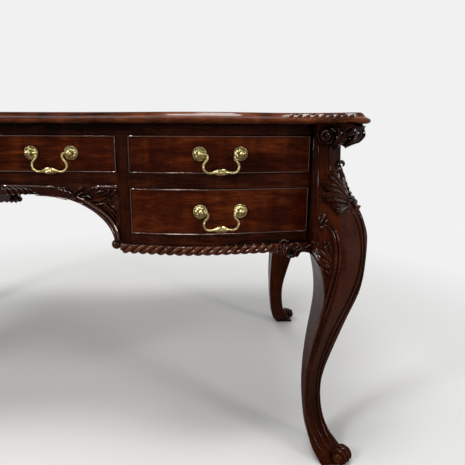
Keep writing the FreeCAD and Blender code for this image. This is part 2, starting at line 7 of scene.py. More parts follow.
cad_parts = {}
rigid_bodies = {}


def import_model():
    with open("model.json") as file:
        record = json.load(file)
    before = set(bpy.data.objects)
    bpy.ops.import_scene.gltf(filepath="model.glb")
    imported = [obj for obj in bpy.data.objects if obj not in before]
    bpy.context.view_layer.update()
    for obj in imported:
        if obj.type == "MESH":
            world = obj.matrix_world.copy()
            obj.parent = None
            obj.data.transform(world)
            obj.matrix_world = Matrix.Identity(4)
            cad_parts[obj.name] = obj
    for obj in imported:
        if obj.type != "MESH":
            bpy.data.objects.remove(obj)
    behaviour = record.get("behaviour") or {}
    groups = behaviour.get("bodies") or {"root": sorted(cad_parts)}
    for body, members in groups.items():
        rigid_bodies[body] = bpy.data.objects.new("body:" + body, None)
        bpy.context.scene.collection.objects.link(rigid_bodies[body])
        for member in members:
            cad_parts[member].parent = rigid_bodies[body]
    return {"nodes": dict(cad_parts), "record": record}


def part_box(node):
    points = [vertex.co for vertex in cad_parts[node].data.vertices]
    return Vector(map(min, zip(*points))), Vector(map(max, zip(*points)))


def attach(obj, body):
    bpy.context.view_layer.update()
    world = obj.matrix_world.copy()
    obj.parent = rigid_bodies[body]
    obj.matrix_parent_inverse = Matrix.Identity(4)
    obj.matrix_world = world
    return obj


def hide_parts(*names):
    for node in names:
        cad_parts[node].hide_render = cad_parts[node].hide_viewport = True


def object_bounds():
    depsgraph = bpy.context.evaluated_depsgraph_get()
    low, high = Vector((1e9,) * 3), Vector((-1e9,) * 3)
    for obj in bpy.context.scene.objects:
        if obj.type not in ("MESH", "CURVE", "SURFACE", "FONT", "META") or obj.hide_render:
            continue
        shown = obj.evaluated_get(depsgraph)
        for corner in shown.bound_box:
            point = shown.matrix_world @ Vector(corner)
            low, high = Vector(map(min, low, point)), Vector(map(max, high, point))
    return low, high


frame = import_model()
nodes = frame["nodes"]
cad_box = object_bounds()
bpy.ops.object.select_all(action="DESELECT")


# The place where the desk is photographed: a plain pale floor that runs on behind
# it, soft studio lamps, and a camera a little above the top, right of the kneehole.

bpy.context.scene.view_settings.view_transform = "Standard"
camera_place = Vector((0.479, -1.286, 0.736))
pitch, yaw, roll = math.radians(12.5), math.radians(1.8), math.radians(0.2)
ahead = Vector((math.sin(yaw) * math.cos(pitch), math.cos(yaw) * math.cos(pitch), -math.sin(pitch)))
level = Vector((math.cos(yaw), -math.sin(yaw), 0))
upright = level.cross(ahead)
camera_right = level * math.cos(roll) + upright * math.sin(roll)
camera_up = upright * math.cos(roll) - level * math.sin(roll)
photo_width, photo_focus = 465, 440
bpy.ops.object.camera_add(location=camera_place)
camera = bpy.context.object
camera.name = "photo_camera"
camera.data.sensor_width = 36
camera.data.lens = camera.data.sensor_width * photo_focus / photo_width
turn = Matrix((camera_right, camera_up, -ahead)).transposed()
camera.matrix_world = Matrix.Translation(camera_place) @ turn.to_4x4()
bpy.context.scene.camera = camera


def new_paint(name):
    """A material, its node tree and its shader."""
    paint = bpy.data.materials.new(name)
    paint.use_nodes = True
    return paint, paint.node_tree, paint.node_tree.nodes["Principled BSDF"]


def desk_place(tree):
    """Where a point lies, in metres from the floor under the middle of the desk."""
    return tree.nodes.new("ShaderNodeTexCoord").outputs["Object"]


def axes_of(tree, vector):
    """The X, Y and Z of a vector, each on its own."""
    split = tree.nodes.new("ShaderNodeSeparateXYZ")
    tree.links.new(vector, split.inputs[0])
    return split.outputs


def feed(tree, pairs):
    """Set each socket to its number or colour, or link what comes from another node."""
    for value, socket in pairs:
        if isinstance(value, (int, float, tuple)):
            socket.default_value = value
        else:
            tree.links.new(value, socket)


def calculated(tree, kind, *values):
    """A Math node whose inputs are links or numbers."""
    node = tree.nodes.new("ShaderNodeMath")
    node.operation = kind
    feed(tree, zip(values, node.inputs))
    return node.outputs[0]


def ranged(tree, value, low, high, least=0.0, most=1.0, curve="LINEAR"):
    """A value between two limits, spread over another range."""
    spread = tree.nodes.new("ShaderNodeMapRange")
    spread.interpolation_type = curve
    given = {"Value": value, "From Min": low, "From Max": high, "To Min": least, "To Max": most}
    feed(tree, [(amount, spread.inputs[name]) for name, amount in given.items()])
    return spread.outputs["Result"]


def stepped(tree, value, low, high, least=0.0, most=1.0):
    """A value between two limits, eased in and out of another range."""
    return ranged(tree, value, low, high, least, most, "SMOOTHSTEP")


def blended(tree, kind, a, b, share=1.0, data="RGBA"):
    """Two colours, or two values, put together by a share of the second."""
    both = tree.nodes.new("ShaderNodeMix")
    both.data_type = data
    both.blend_type = kind
    feed(tree, ((share, both.inputs["Factor"]), (a, both.inputs["A"]), (b, both.inputs["B"])))
    return both.outputs["Result"]


backdrop_light = 0.88
floor_size, floor_back = 12, 3.7
floor_colour = (0.64, 0.635, 0.62, 1)
floor_in_polish = (0.13, 0.085, 0.07, 1)
bpy.ops.mesh.primitive_plane_add(size=floor_size, location=(0, 0, 0))
floor = bpy.context.object
floor.name = "studio_floor"
for corner in floor.data.vertices:
    corner.co.y += floor_back
floor_paint, tree, floor_shader = new_paint("studio_floor_paint")
floor.data.materials.append(floor_paint)
floor_shader.inputs["Roughness"].default_value = 0.7

# In the polish of the desk's front the floor shows as a brown one would.
rays = tree.nodes.new("ShaderNodeLightPath").outputs
before_desk = ranged(tree, axes_of(tree, desk_place(tree))["Y"], 0.5, 0.0)
in_polish = calculated(tree, "MULTIPLY", rays["Is Glossy Ray"], before_desk)
floor_tone = blended(tree, "MIX", floor_colour, floor_in_polish, in_polish)
tree.links.new(floor_tone, floor_shader.inputs["Base Color"])

# Far from the desk the floor takes the light of the backdrop, so no edge shows.
distance = tree.nodes.new("ShaderNodeVectorMath")
distance.operation = "LENGTH"
tree.links.new(desk_place(tree), distance.inputs[0])
far = stepped(tree, distance.outputs["Value"], 0.8, 2.2)
straight = calculated(tree, "MAXIMUM", rays["Is Camera Ray"], rays["Is Transmission Ray"])
backdrop = tree.nodes.new("ShaderNodeEmission")
backdrop.inputs["Color"].default_value = (backdrop_light, backdrop_light, backdrop_light, 1)
faded = tree.nodes.new("ShaderNodeMixShader")
tree.links.new(calculated(tree, "MULTIPLY", far, straight), faded.inputs[0])
tree.links.new(floor_shader.outputs["BSDF"], faded.inputs[1])
tree.links.new(backdrop.outputs["Emission"], faded.inputs[2])
tree.links.new(faded.outputs[0], tree.nodes["Material Output"].inputs["Surface"])

studio = bpy.data.worlds.new("studio")
studio.use_nodes = True
bpy.context.scene.world = studio
tree = studio.node_tree
tree.nodes.clear()
rays = tree.nodes.new("ShaderNodeLightPath").outputs
straight = calculated(tree, "MAXIMUM", rays["Is Camera Ray"], rays["Is Transmission Ray"])
lit = tree.nodes.new("ShaderNodeBackground")
lit.inputs["Color"].default_value = (0.92, 0.95, 1.0, 1)
lit.inputs["Strength"].default_value = 0.42

# In a reflection the backdrop is pale and the room in front of the desk is dimmer.
dim_light = 0.10
direction = tree.nodes.new("ShaderNodeTexCoord").outputs["Generated"]
room = stepped(tree, axes_of(tree, direction)["Y"], 0.05, 0.8, dim_light, backdrop_light)
pale = tree.nodes.new("ShaderNodeBackground")
pale.inputs["Color"].default_value = (1, 1, 1, 1)
pale_light = blended(tree, "MIX", backdrop_light, room, rays["Is Glossy Ray"], "FLOAT")
tree.links.new(pale_light, pale.inputs["Strength"])
shown = tree.nodes.new("ShaderNodeMixShader")
tree.links.new(calculated(tree, "MAXIMUM", straight, rays["Is Glossy Ray"]), shown.inputs[0])
tree.links.new(lit.outputs[0], shown.inputs[1])
tree.links.new(pale.outputs[0], shown.inputs[2])
world_out = tree.nodes.new("ShaderNodeOutputWorld")
tree.links.new(shown.outputs[0], world_out.inputs["Surface"])


def add_lamp(name, place, aim, size, power, colour):
    """A soft oblong lamp that looks at a point."""
    bpy.ops.object.light_add(type="AREA", location=place)
    lamp = bpy.context.object
    lamp.name = name
    lamp.data.shape = "RECTANGLE"
    lamp.data.size, lamp.data.size_y = size
    lamp.data.energy = power
    lamp.data.color = colour
    lamp.rotation_euler = (Vector(aim) - Vector(place)).to_track_quat("-Z", "Y").to_euler()


add_lamp("window_lamp", (-2.0, -2.4, 2.3), (0.1, 0, 0.5), (0.6, 1.1), 62, (0.95, 0.97, 1.0))
add_lamp("fill_lamp", (2.9, -2.2, 1.5), (0.2, 0, 0.4), (0.5, 0.9), 30, (1.0, 0.97, 0.93))
add_lamp("ceiling_lamp", (0.3, -0.68, 3.0), (0, 0, 0.6), (1.6, 0.7), 60, (1.0, 0.99, 0.97))
add_lamp("rear_lamp", (-0.6, 3.0, 2.4), (0, 0, 0.5), (2.0, 1.6), 36, (1.0, 0.98, 0.96))


# The case: rails and raised back panels of quarter-cut mahogany, stained red brown and
# French polished, with the rails tenoned into the posts of the legs. The grain runs
# along each board, and the colour is darkened in the hollows as painted shade.

def new_group(name, takes, gives):
    """A shader node group with its sockets, its entrance and its exit."""
    group = bpy.data.node_groups.new(name, "ShaderNodeTree")
    for word, kind, value in takes:
        socket = group.interface.new_socket(name=word, in_out="INPUT", socket_type=kind)
        if value is not None:
            socket.default_value = value
    for word, kind in gives:
        group.interface.new_socket(name=word, in_out="OUTPUT", socket_type=kind)
    return group, group.nodes.new("NodeGroupInput"), group.nodes.new("NodeGroupOutput")


def stretched_noise(tree, vector, stretch, detail, rough, warp=0.0):
    """Noise on a vector, with so many clouds to a metre along each axis."""
    scaled = tree.nodes.new("ShaderNodeVectorMath")
    scaled.operation = "MULTIPLY"
    tree.links.new(vector, scaled.inputs[0])
    scaled.inputs[1].default_value = stretch
    cloud = tree.nodes.new("ShaderNodeTexNoise")
    cloud.inputs["Scale"].default_value = 1.0
    cloud.inputs["Detail"].default_value = detail
    cloud.inputs["Roughness"].default_value = rough
    cloud.inputs["Distortion"].default_value = warp
    tree.links.new(scaled.outputs[0], cloud.inputs["Vector"])
    return cloud.outputs["Fac"]


def coloured(tree, value, steps):
    """A value turned to a colour along a row of places and their colours."""
    ramp = tree.nodes.new("ShaderNodeValToRGB")
    ends = ramp.color_ramp.elements
    for end, (at, colour) in ((ends[0], steps[0]), (ends[1], steps[-1])):
        end.position, end.color = at, (*colour, 1)
    for at, colour in steps[1:-1]:
        ramp.color_ramp.elements.new(at).color = (*colour, 1)
    tree.links.new(value, ramp.inputs["Fac"])
    return ramp.outputs["Color"]


def openness(tree, reach, low, high, samples):
    """1 on an open face and 0 in a hollow, by what stands within reach."""
    hollows = tree.nodes.new("ShaderNodeAmbientOcclusion")
    hollows.samples = samples
    hollows.inputs["Distance"].default_value = reach
    return stepped(tree, hollows.outputs["AO"], low, high)


def roughen(tree, shader, height, strength, depth):
    """A fine relief on a finish, from a height."""
    bump = tree.nodes.new("ShaderNodeBump")
    bump.inputs["Strength"].default_value = strength
    bump.inputs["Distance"].default_value = depth
    tree.links.new(height, bump.inputs["Height"])
    tree.links.new(bump.outputs["Normal"], shader.inputs["Normal"])


grain, grain_in, grain_out = new_group(
    "mahogany_grain",
    [("Vector", "NodeSocketVector", None), ("Figure", "NodeSocketFloat", 0.5)],
    [("Tone", "NodeSocketFloat"), ("Streak", "NodeSocketFloat"), ("Pores", "NodeSocketFloat")])

# Broad bands, the flame figure, a ripple across them, fine streaks and pores: each is a
# noise, with so many clouds to a metre along the grain and across it.
on_board = grain_in.outputs["Vector"]
broad = stretched_noise(grain, on_board, (1.6, 9.0, 9.0), 3, 0.55, 0.6)
flame = stretched_noise(grain, on_board, (4.5, 34.0, 34.0), 4, 0.6, 1.6)
ripple = stretched_noise(grain, on_board, (38.0, 7.0, 7.0), 2, 0.5, 0.4)
fine = stretched_noise(grain, on_board, (14.0, 260.0, 260.0), 3, 0.6)
pore = stretched_noise(grain, on_board, (90.0, 1500.0, 1500.0), 1, 0.5)
figured = blended(grain, "MIX", broad, flame, grain_in.outputs["Figure"], "FLOAT")
rippled = calculated(grain, "MULTIPLY_ADD", ripple, 0.25, figured)
grain.links.new(stepped(grain, rippled, 0.42, 0.82), grain_out.inputs["Tone"])
grain.links.new(stepped(grain, fine, 0.3, 0.7), grain_out.inputs["Streak"])
grain.links.new(stepped(grain, pore, 0.60, 0.68), grain_out.inputs["Pores"])
grain_turns = {"X": (0, 0, 0), "Y": (0, 0, math.radians(90)), "Z": (0, math.radians(90), 0)}


def polished_wood(name, dark, middle, light, along="X", figure=0.5, hollow=0.012, gloss=0.2, polish=0.24):
    """French polished wood whose grain runs along an axis of the desk."""
    paint, tree, shader = new_paint(name)
    board = tree.nodes.new("ShaderNodeMapping")
    board.inputs["Rotation"].default_value = grain_turns[along]
    tree.links.new(desk_place(tree), board.inputs["Vector"])
    cut = tree.nodes.new("ShaderNodeGroup")
    cut.node_tree = grain
    cut.inputs["Figure"].default_value = figure
    tree.links.new(board.outputs[0], cut.inputs["Vector"])
    streak = cut.outputs["Streak"]
    tone = coloured(tree, cut.outputs["Tone"], ((0, dark), (0.5, middle), (1, light)))
    streaks = ranged(tree, streak, 0, 1, 0.70, 1.25)
    pores = ranged(tree, cut.outputs["Pores"], 0, 1, 1.0, 0.45)
    # Painted shade: the colour is darkened in hollows and where parts meet, by what stands within reach.
    shade = ranged(tree, openness(tree, hollow, low=0.35, high=0.95, samples=6), 0, 1, 0.10, 1.0)
    for mask in (streaks, pores, shade):
        tone = blended(tree, "MULTIPLY", tone, mask)
    tree.links.new(tone, shader.inputs["Base Color"])
    tree.links.new(ranged(tree, streak, 0, 1, gloss, gloss + 0.12), shader.inputs["Roughness"])
    shader.inputs["Specular IOR Level"].default_value = 0.03
    shader.inputs["Coat Weight"].default_value = polish
    shader.inputs["Coat Roughness"].default_value = 0.08
    roughen(tree, shader, streak, 0.25, 0.0003)
    return paint


def shaded_under_top(paint, low, high, least):
    """Darken a wood close under the top: painted shade, where the top's overhang shadows it."""
    tree = paint.node_tree
    base = tree.nodes["Principled BSDF"].inputs["Base Color"]
    painted_shade = stepped(tree, axes_of(tree, desk_place(tree))["Z"], low, high, 1.0, least)
    tree.links.new(blended(tree, "MULTIPLY", base.links[0].from_socket, painted_shade), base)


def finish_nodes(beginnings, material):
    """Give the nodes of the model whose names begin so their material."""
    for name, node in nodes.items():
        if name.startswith(beginnings):
            for slot in node.material_slots:
                slot.material = material


rail_wood = polished_wood("mahogany_rails", (0.008, 0.0015, 0.0006), (0.026, 0.0050, 0.0016),
                          (0.056, 0.012, 0.0034))
# Painted shade: the rails are darkened close under the top, where its overhang shadows them.
shaded_under_top(rail_wood, low=0.700, high=0.755, least=0.55)
finish_nodes(("top_rail", "kneehole_rail", "mid_rail", "bottom_rail", "back_panels"), rail_wood)


# The uprights beside the kneehole, the walls behind them and the bowed end panels:
# mahogany boards with their grain upright, the uprights stained darker than the ends.

upright_wood = polished_wood("mahogany_uprights", (0.006, 0.0011, 0.0004), (0.017, 0.0030, 0.0010),
                             (0.034, 0.0068, 0.0020), along="Z", figure=0.3, polish=0.16)
end_wood = polished_wood("mahogany_ends", (0.010, 0.0019, 0.0008), (0.030, 0.0058, 0.0018),
                         (0.064, 0.014, 0.0038), along="Z", figure=0.6)
finish_nodes("divider", upright_wood)
finish_nodes(("end_panel", "kneehole_side"), end_wood)


# The legs: each is one piece of mahogany from the top board to the toe, sawn to its
# curve with the case's corner post as its head. At the knee its ground is cut back a
# little, so that the carving stands no prouder there than the sawn timber did.

mm = 0.001
merge_gap = 0.01 * mm
ground_depth, ground_ease, ground_start = 2.4 * mm, 0.8 * mm, 4 * mm
ground_low, ground_high = 0.38, 0.57
slice_from, slice_step, slices = 0.400, 4.5 * mm, 34
leg_wood = polished_wood("mahogany_legs", (0.011, 0.0018, 0.0006), (0.026, 0.0042, 0.0012),
                         (0.046, 0.0088, 0.0024), along="Z", figure=0.25, polish=0.13)
# Painted shade: the leg posts are darkened close under the top, where its overhang shadows them.
shaded_under_top(leg_wood, low=0.650, high=0.745, least=0.42)
finish_nodes("leg_", leg_wood)


def alone(piece):
    """Select one piece and nothing else."""
    bpy.ops.object.select_all(action="DESELECT")
    piece.select_set(True)
    bpy.context.view_layer.objects.active = piece


def renamed(piece, name):
    """A piece and its mesh under one name, with nothing selected."""
    piece.name = name
    piece.data.name = name
    bpy.ops.object.select_all(action="DESELECT")
    return piece


def copied(piece, name, matrix):
    """A copy with its own mesh, moved or mirrored."""
    alone(piece)
    bpy.ops.object.duplicate()
    twin = bpy.context.object
    twin.data.transform(matrix)
    if matrix.determinant() < 0:
        twin.data.flip_normals()
    return renamed(twin, name)


def smooth(piece, angle=50):
    """Smooth faces, with sharp edges past an angle."""
    alone(piece)
    bpy.ops.object.shade_smooth_by_angle(angle=math.radians(angle))
    piece.select_set(False)


def dress(piece, material, body="carcass"):
    """Give a piece its finish, and the body that it rides on."""
    piece.data.materials.clear()
    piece.data.materials.append(material)
    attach(piece, body)
    return piece


def set_back(value, limit):
    """A value eased back where it comes past a limit."""
    past = value - limit
    if past <= -ground_start:
        return value
    return value - (past + math.sqrt(past ** 2 + ground_ease ** 2)) / 2


def grounded_leg(node):
    """A leg with its knee's carved ground cut back on both outer faces."""
    leg = copied(nodes[node], "carved_" + node, Matrix.Identity(4))
    alone(leg)
    bpy.ops.mesh.customdata_custom_splitnormals_clear()
    bpy.ops.object.mode_set(mode="EDIT")
    bpy.ops.mesh.select_all(action="SELECT")
    bpy.ops.mesh.remove_doubles(threshold=merge_gap)
    for i in range(slices):
        bpy.ops.mesh.select_all(action="SELECT")
        bpy.ops.mesh.bisect(plane_co=(0, 0, slice_from + slice_step * i), plane_no=(0, 0, 1))
    bpy.ops.mesh.select_all(action="SELECT")
    bpy.ops.mesh.normals_make_consistent(inside=False)
    bpy.ops.object.mode_set(mode="OBJECT")
    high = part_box(node)[1]
    hand_x = 1 if high.x > 0 else -1
    hand_y = 1 if high.y > 0 else -1
    for vertex in leg.data.vertices:
        if ground_low < vertex.co.z < ground_high:
            vertex.co.x = hand_x * set_back(hand_x * vertex.co.x, cad_box[1][0] - ground_depth)
            vertex.co.y = hand_y * set_back(hand_y * vertex.co.y, cad_box[1][1] - ground_depth)
    smooth(leg, angle=30)
    dress(leg, leg_wood)
    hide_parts(node)
    return leg


legs = ("leg_front_right", "leg_front_left", "leg_rear_right", "leg_rear_left")
carved_legs = {node: grounded_leg(node) for node in legs}


# The carving of the legs: acanthus, scrolls and bead lines cut in the solid wood of
# each leg after it was sawn to shape. It is modelled on the front right leg, where
# the photograph shows it, and each other leg gets its mirrored copy.

carved_wood = polished_wood("mahogany_carving", (0.011, 0.0021, 0.0009), (0.032, 0.0062, 0.0021),
                            (0.062, 0.0135, 0.0044), figure=0.2, hollow=0.008, gloss=0.15, polish=0.65)
# Painted shade: the carving is darkened close under the top, where its overhang shadows it.
shaded_under_top(carved_wood, low=0.685, high=0.745, least=0.36)

# Places on the legs are read off the photograph in pixels, and these are in pixels too.
pixel_step, longest_search = 0.5, 24
around_pixel = 2.5
bead_step = 2.2

same_face = 30 * mm
box_gap = 0.2 * mm
turned_to_sight = 0.35
rib_share = 0.34
bead_tip = 0.3


def skin_of(*names):
    """The surface of some nodes, for finding where carving lies on it."""
    points, faces = [], []
    for name in names:
        mesh = carved_legs.get(name, nodes[name]).data
        start = len(points)
        points += [v.co.copy() for v in mesh.vertices]
        faces += [[start + i for i in face.vertices] for face in mesh.polygons]
    return BVHTree.FromPolygons(points, faces)


def through_photo(skin, u, v):
    """Where the line of sight through a place of the photograph meets a skin."""
    middle = photo_width / 2
    sight = ahead * photo_focus + camera_right * (u - middle) - camera_up * (v - middle)
    sight.normalize()
    place, normal = skin.ray_cast(camera_place, sight)[:2]
    return None if place is None else (place, normal, sight)


def on_skin(skin, u, v, towards=(-1, 0)):
    """A place and its outward direction on a skin; past its outline it carries on level with the edge."""
    step, found = 0, through_photo(skin, u, v)
    while found is None and step < longest_search:
        step += 1
        reach = step * pixel_step
        found = through_photo(skin, u + towards[0] * reach, v + towards[1] * reach)
    if found is None:
        raise ValueError(f"nothing lies near {u}, {v}")
    place, normal, sight = found
    total = Vector(normal)
    for du, dv in ((around_pixel, 0), (-around_pixel, 0), (0, around_pixel), (0, -around_pixel)):
        near = through_photo(skin, u + du, v + dv)
        if near is not None and (near[0] - place).length < same_face:
            total += near[1]
    out = (total.normalized() - sight * turned_to_sight).normalized()
    if step:
        depth = (place - camera_place).dot(ahead)
        side = camera_right * (-towards[0]) + camera_up * towards[1]
        place = place + side * (step * pixel_step * depth / photo_focus)
    return place, out


def lengths_along(line):
    """The length of a line up to each of its points."""
    runs = [0.0]
    for a, b in zip(line, line[1:]):
        runs.append(runs[-1] + (b - a).length)
    return runs


def row_at(t, count):
    """The number of a row of points, from its share of the way along."""
    return min(int(round(t * count)), count)


def run_at(line, i):
    """From the point before one point of a line to the point after it."""
    return line[min(i + 1, len(line) - 1)] - line[max(i - 1, 0)]


def smooth_line(points, count):
    """A row of points spread evenly along a smooth line through some points."""
    points = [Vector(p) for p in points]
    dense = []
    for i in range(len(points) - 1):
        a, b = points[max(i - 1, 0)], points[i]
        c, d = points[i + 1], points[min(i + 2, len(points) - 1)]
        for k in range(12):
            t = k / 12
            dense.append(0.5 * ((2 * b) + (c - a) * t + (2 * a - 5 * b + 4 * c - d) * t * t
                                + (3 * b - a - 3 * c + d) * t ** 3))
    dense.append(points[-1])
    runs = lengths_along(dense)
    line, k = [], 0
    for i in range(count):
        want = runs[-1] * i / (count - 1)
        while k < len(runs) - 2 and runs[k + 1] < want:
            k += 1
        share = (want - runs[k]) / max(runs[k + 1] - runs[k], 1e-9)
        line.append(dense[k].lerp(dense[k + 1], min(max(share, 0), 1)))
    return line


def shaped_grid(name, across, along, place):
    """A grid whose points go to place(s, t), with s from -1 to 1 and t from 0 to 1."""
    bpy.ops.mesh.primitive_grid_add(x_subdivisions=across, y_subdivisions=along, size=2, location=(0, 0, 0))
    piece = bpy.context.object
    piece.name = name
    for vertex in piece.data.vertices:
        vertex.co = place(vertex.co.x, (vertex.co.y + 1) / 2)
    return piece


def backed(piece, depth):
    """Close a carved sheet behind, with its faces outwards."""
    wall = piece.modifiers.new("wall", "SOLIDIFY")
    wall.thickness = depth
    wall.offset = -1
    wall.use_even_offset = False
    bpy.ops.object.modifier_apply(modifier="wall")
    bpy.ops.object.mode_set(mode="EDIT")
    bpy.ops.mesh.select_all(action="SELECT")
    bpy.ops.mesh.normals_make_consistent(inside=False)
    bpy.ops.object.mode_set(mode="OBJECT")
    return piece


def closed(piece, open_ends=True):
    """Merge a rolled sheet's seam, fill its open ends and turn its faces outwards."""
    bpy.ops.object.mode_set(mode="EDIT")
    bpy.ops.mesh.select_all(action="SELECT")
    bpy.ops.mesh.remove_doubles(threshold=merge_gap)
    if open_ends:
        bpy.ops.mesh.select_all(action="DESELECT")
        bpy.ops.mesh.select_non_manifold()
        bpy.ops.mesh.fill_holes(sides=0)
        bpy.ops.mesh.select_all(action="SELECT")
    bpy.ops.mesh.normals_make_consistent(inside=False)
    bpy.ops.object.mode_set(mode="OBJECT")
    return piece


def carved_leaf(skin, spine, width, height, ribs=1, across=8, along=10, curl=0.0, towards=(-1, 0)):
    """One lobe of a leaf that lies on a skin along a spine, root first.

    It swells from its root, has a scalloped edge that is sunk in the ground, and closes at
    its tip; its face is domed and ribbed, and curls up towards the tip.
    """
    line = smooth_line(spine, along + 1)
    spots = {}

    def place(s, t):
        i = row_at(t, along)
        key = (round(s, 3), i)
        if key not in spots:
            run = run_at(line, i)
            side = Vector((-run.y, run.x)).normalized()
            belly = min(1.0, 0.32 + 1.1 * t) * math.sqrt(max(1 - t ** 6, 0.0))
            half = width * max(belly, 0.05) * (1 + 0.09 * math.cos(9 * math.pi * t))
            spot, out = on_skin(skin, *(line[i] + side * (half * s)), towards)
            dome = (1 - s * s) ** 0.7
            ribbed = rib_share * math.cos(ribs * math.pi * s)
            rise = height * dome * (min(1.0, 0.4 + 1.2 * t) + ribbed)
            rolled = curl * t ** 4 * (1 - 0.4 * s * s)
            sunk = 1.4 * (1 - dome)
            spots[key] = spot + out * ((rise + rolled - sunk) * mm)
        return spots[key]

    leaf = shaped_grid("lobe", across, along, place)
    seen = sum(face.normal.dot(camera_place - face.center) * face.area for face in leaf.data.polygons)
    if seen < 0:
        leaf.data.flip_normals()
    return backed(leaf, 2.2 * mm)


def tube(name, places, sizes, sides=8):
    """A round bead along a row of places, with its own radius at each."""
    frames = []
    up = Vector((0.31, 0.22, 0.92))     # a direction that no bead runs along
    for i, here in enumerate(places):
        run = run_at(places, i).normalized()
        up = (up - run * up.dot(run)).normalized()
        frames.append((here, up, run.cross(up)))

    def place(s, t):
        i = row_at(t, len(places) - 1)
        here, first, second = frames[i]
        turn = math.pi * s
        return here + (first * math.cos(turn) + second * math.sin(turn)) * sizes[i]

    return closed(shaped_grid(name, sides, len(places) - 1, place))


def carved_bead(skin, spine, radius, lift=0.25, steps=None, taper=0.12, towards=(-1, 0)):
    """A half-sunk bead on a skin, thin at both ends."""
    span = sum((Vector(b) - Vector(a)).length for a, b in zip(spine, spine[1:]))
    steps = steps or max(8, int(span / bead_step))
    places, sizes = [], []
    for i, here in enumerate(smooth_line(spine, steps + 1)):
        t = i / steps
        size = radius * mm * min(1.0, bead_tip + t / taper, bead_tip + (1 - t) / taper)
        spot, out = on_skin(skin, here.x, here.y, towards)
        places.append(spot + out * (size * lift))
        sizes.append(size)
    return tube("bead", places, sizes)


def carved_bud(skin, dot, radius, lift=0.4, sides=12, towards=(-1, 0)):
    """A round bud half sunk in a skin."""
    place, out = on_skin(skin, *dot, towards)
    bpy.ops.mesh.primitive_uv_sphere_add(segments=sides, ring_count=sides // 2 + 1, radius=radius * mm,
                                         location=place + out * lift * mm)
    bpy.ops.object.transform_apply(location=True, rotation=False, scale=False)
    return bpy.context.object


def scroll_points(centre, start, end, first, last):
    """Places of a spiral round a centre, from one radius to another."""
    points = []
    count = max(6, int(abs(end - start) / 22))
    for i in range(count + 1):
        t = i / count
        angle = math.radians(start + (end - start) * t)
        radius = first + (last - first) * t
        points.append((centre[0] + radius * math.cos(angle), centre[1] - radius * math.sin(angle)))
    return points


def joined(name, parts):
    """Several parts made one piece."""
    bpy.ops.object.select_all(action="DESELECT")
    for part in parts:
        part.select_set(True)
    bpy.context.view_layer.objects.active = parts[0]
    bpy.ops.object.join()
    return renamed(bpy.context.object, name)


def kept_inside(piece):
    """Carving on the front right, cut no prouder than the timber it was sawn from."""
    for vertex in piece.data.vertices:
        vertex.co.x = min(vertex.co.x, cad_box[1][0] - box_gap)
        vertex.co.y = max(vertex.co.y, cad_box[0][1] + box_gap)
        vertex.co.z = min(vertex.co.z, cad_box[1][2] - box_gap)
    return piece


mirror_x = Matrix.Diagonal((-1, 1, 1, 1))
mirror_y = Matrix.Diagonal((1, -1, 1, 1))
other_corners = {"front_left": mirror_x, "rear_right": mirror_y, "rear_left": mirror_x @ mirror_y}


def on_each_corner(piece, wood):
    """A piece of the front right with its finish, and its mirrored twins at the other corners."""
    made = {}
    for corner, matrix in other_corners.items():
        twin = copied(piece, piece.name.replace("front_right", corner), matrix)
        made[corner] = dress(twin, wood)
    made["front_right"] = dress(piece, wood)
    return made


leg_skin = skin_of("leg_front_right")
post_x, post_y = 0.675, 0.330
parts = []
fan_lobes = (
    (((351, 203), (344, 198.4), (336, 194.6), (328.6, 192.6)), 9.6, 2.6, 7, 0.0),
    (((350.5, 199), (346.8, 189), (342.8, 179), (340.2, 170), (339.6, 165)), 3.6, 2.4, 2, 1.2),
    (((349.5, 199), (344, 189.5), (338.5, 181), (334.6, 174.8), (332.2, 171.0)), 2.9, 3.2, 1, 0.8),
    (((349, 199), (342.5, 190.5), (336, 183.5), (331.5, 178), (328.6, 174.6)), 3.2, 3.8, 1, 1.4),
    (((349, 199.5), (342.5, 192.5), (335, 187), (328, 184.4), (320.8, 183.6)), 4.4, 4.6, 2, 3.0),
    (((348.5, 200.5), (342, 195.4), (335, 191.6), (329, 189.6), (324.4, 188.6)), 3.6, 4.6, 1, 2.0),
    (((348.5, 201.5), (341.5, 198.2), (334, 196), (327.4, 195.2), (321.0, 196)), 4.4, 4.8, 2, 3.0),
    (((348, 203), (341.4, 202.2), (334.6, 201), (329.6, 200.8), (325.2, 201.4)), 3.7, 4.6, 1, 2.0),
    (((347.5, 204.5), (342.5, 205.4), (337, 206.4), (331, 206.8)), 4.3, 4.8, 2, 3.0),
    (((347.5, 206), (344, 208.6), (340, 211), (335.4, 212.6)), 3.6, 4.4, 1, 2.4),
)
for spine, width, height, ribs, curl in fan_lobes:
    parts.append(carved_leaf(leg_skin, spine, width, height, ribs, across=10, along=18, curl=curl))

front_leaves = (
    (((320.5, 225), (322.4, 219), (326.2, 213.4)), 2.9, 3.4, 1.4),
    (((321.2, 226), (319.6, 220), (319.4, 214.5)), 2.4, 3.0, 1.0),
    (((322.2, 225.5), (325.8, 221.8), (329, 219.4)), 2.5, 3.2, 1.2),
    (((331.2, 262), (328.6, 255), (325.6, 249), (322.8, 244.6)), 2.8, 3.2, 1.4),
    (((331.2, 262.6), (325.5, 256), (320.5, 251.6), (318.0, 248.6)), 2.6, 3.2, 1.2),
    (((331.6, 267), (326, 261.6), (320.6, 258)), 2.5, 3.0, 1.2),
    (((331.4, 272), (327.6, 267.6), (322.4, 263.8)), 2.4, 2.8, 1.0),
    (((330.8, 277), (327.8, 272.6), (324, 270)), 1.9, 2.4, 0.8),
    (((331.4, 256), (330.6, 249.6), (328.8, 244.4)), 2.2, 2.8, 1.0),
)
for spine, width, height, curl in front_leaves:
    parts.append(carved_leaf(leg_skin, spine, width, height, curl=curl))

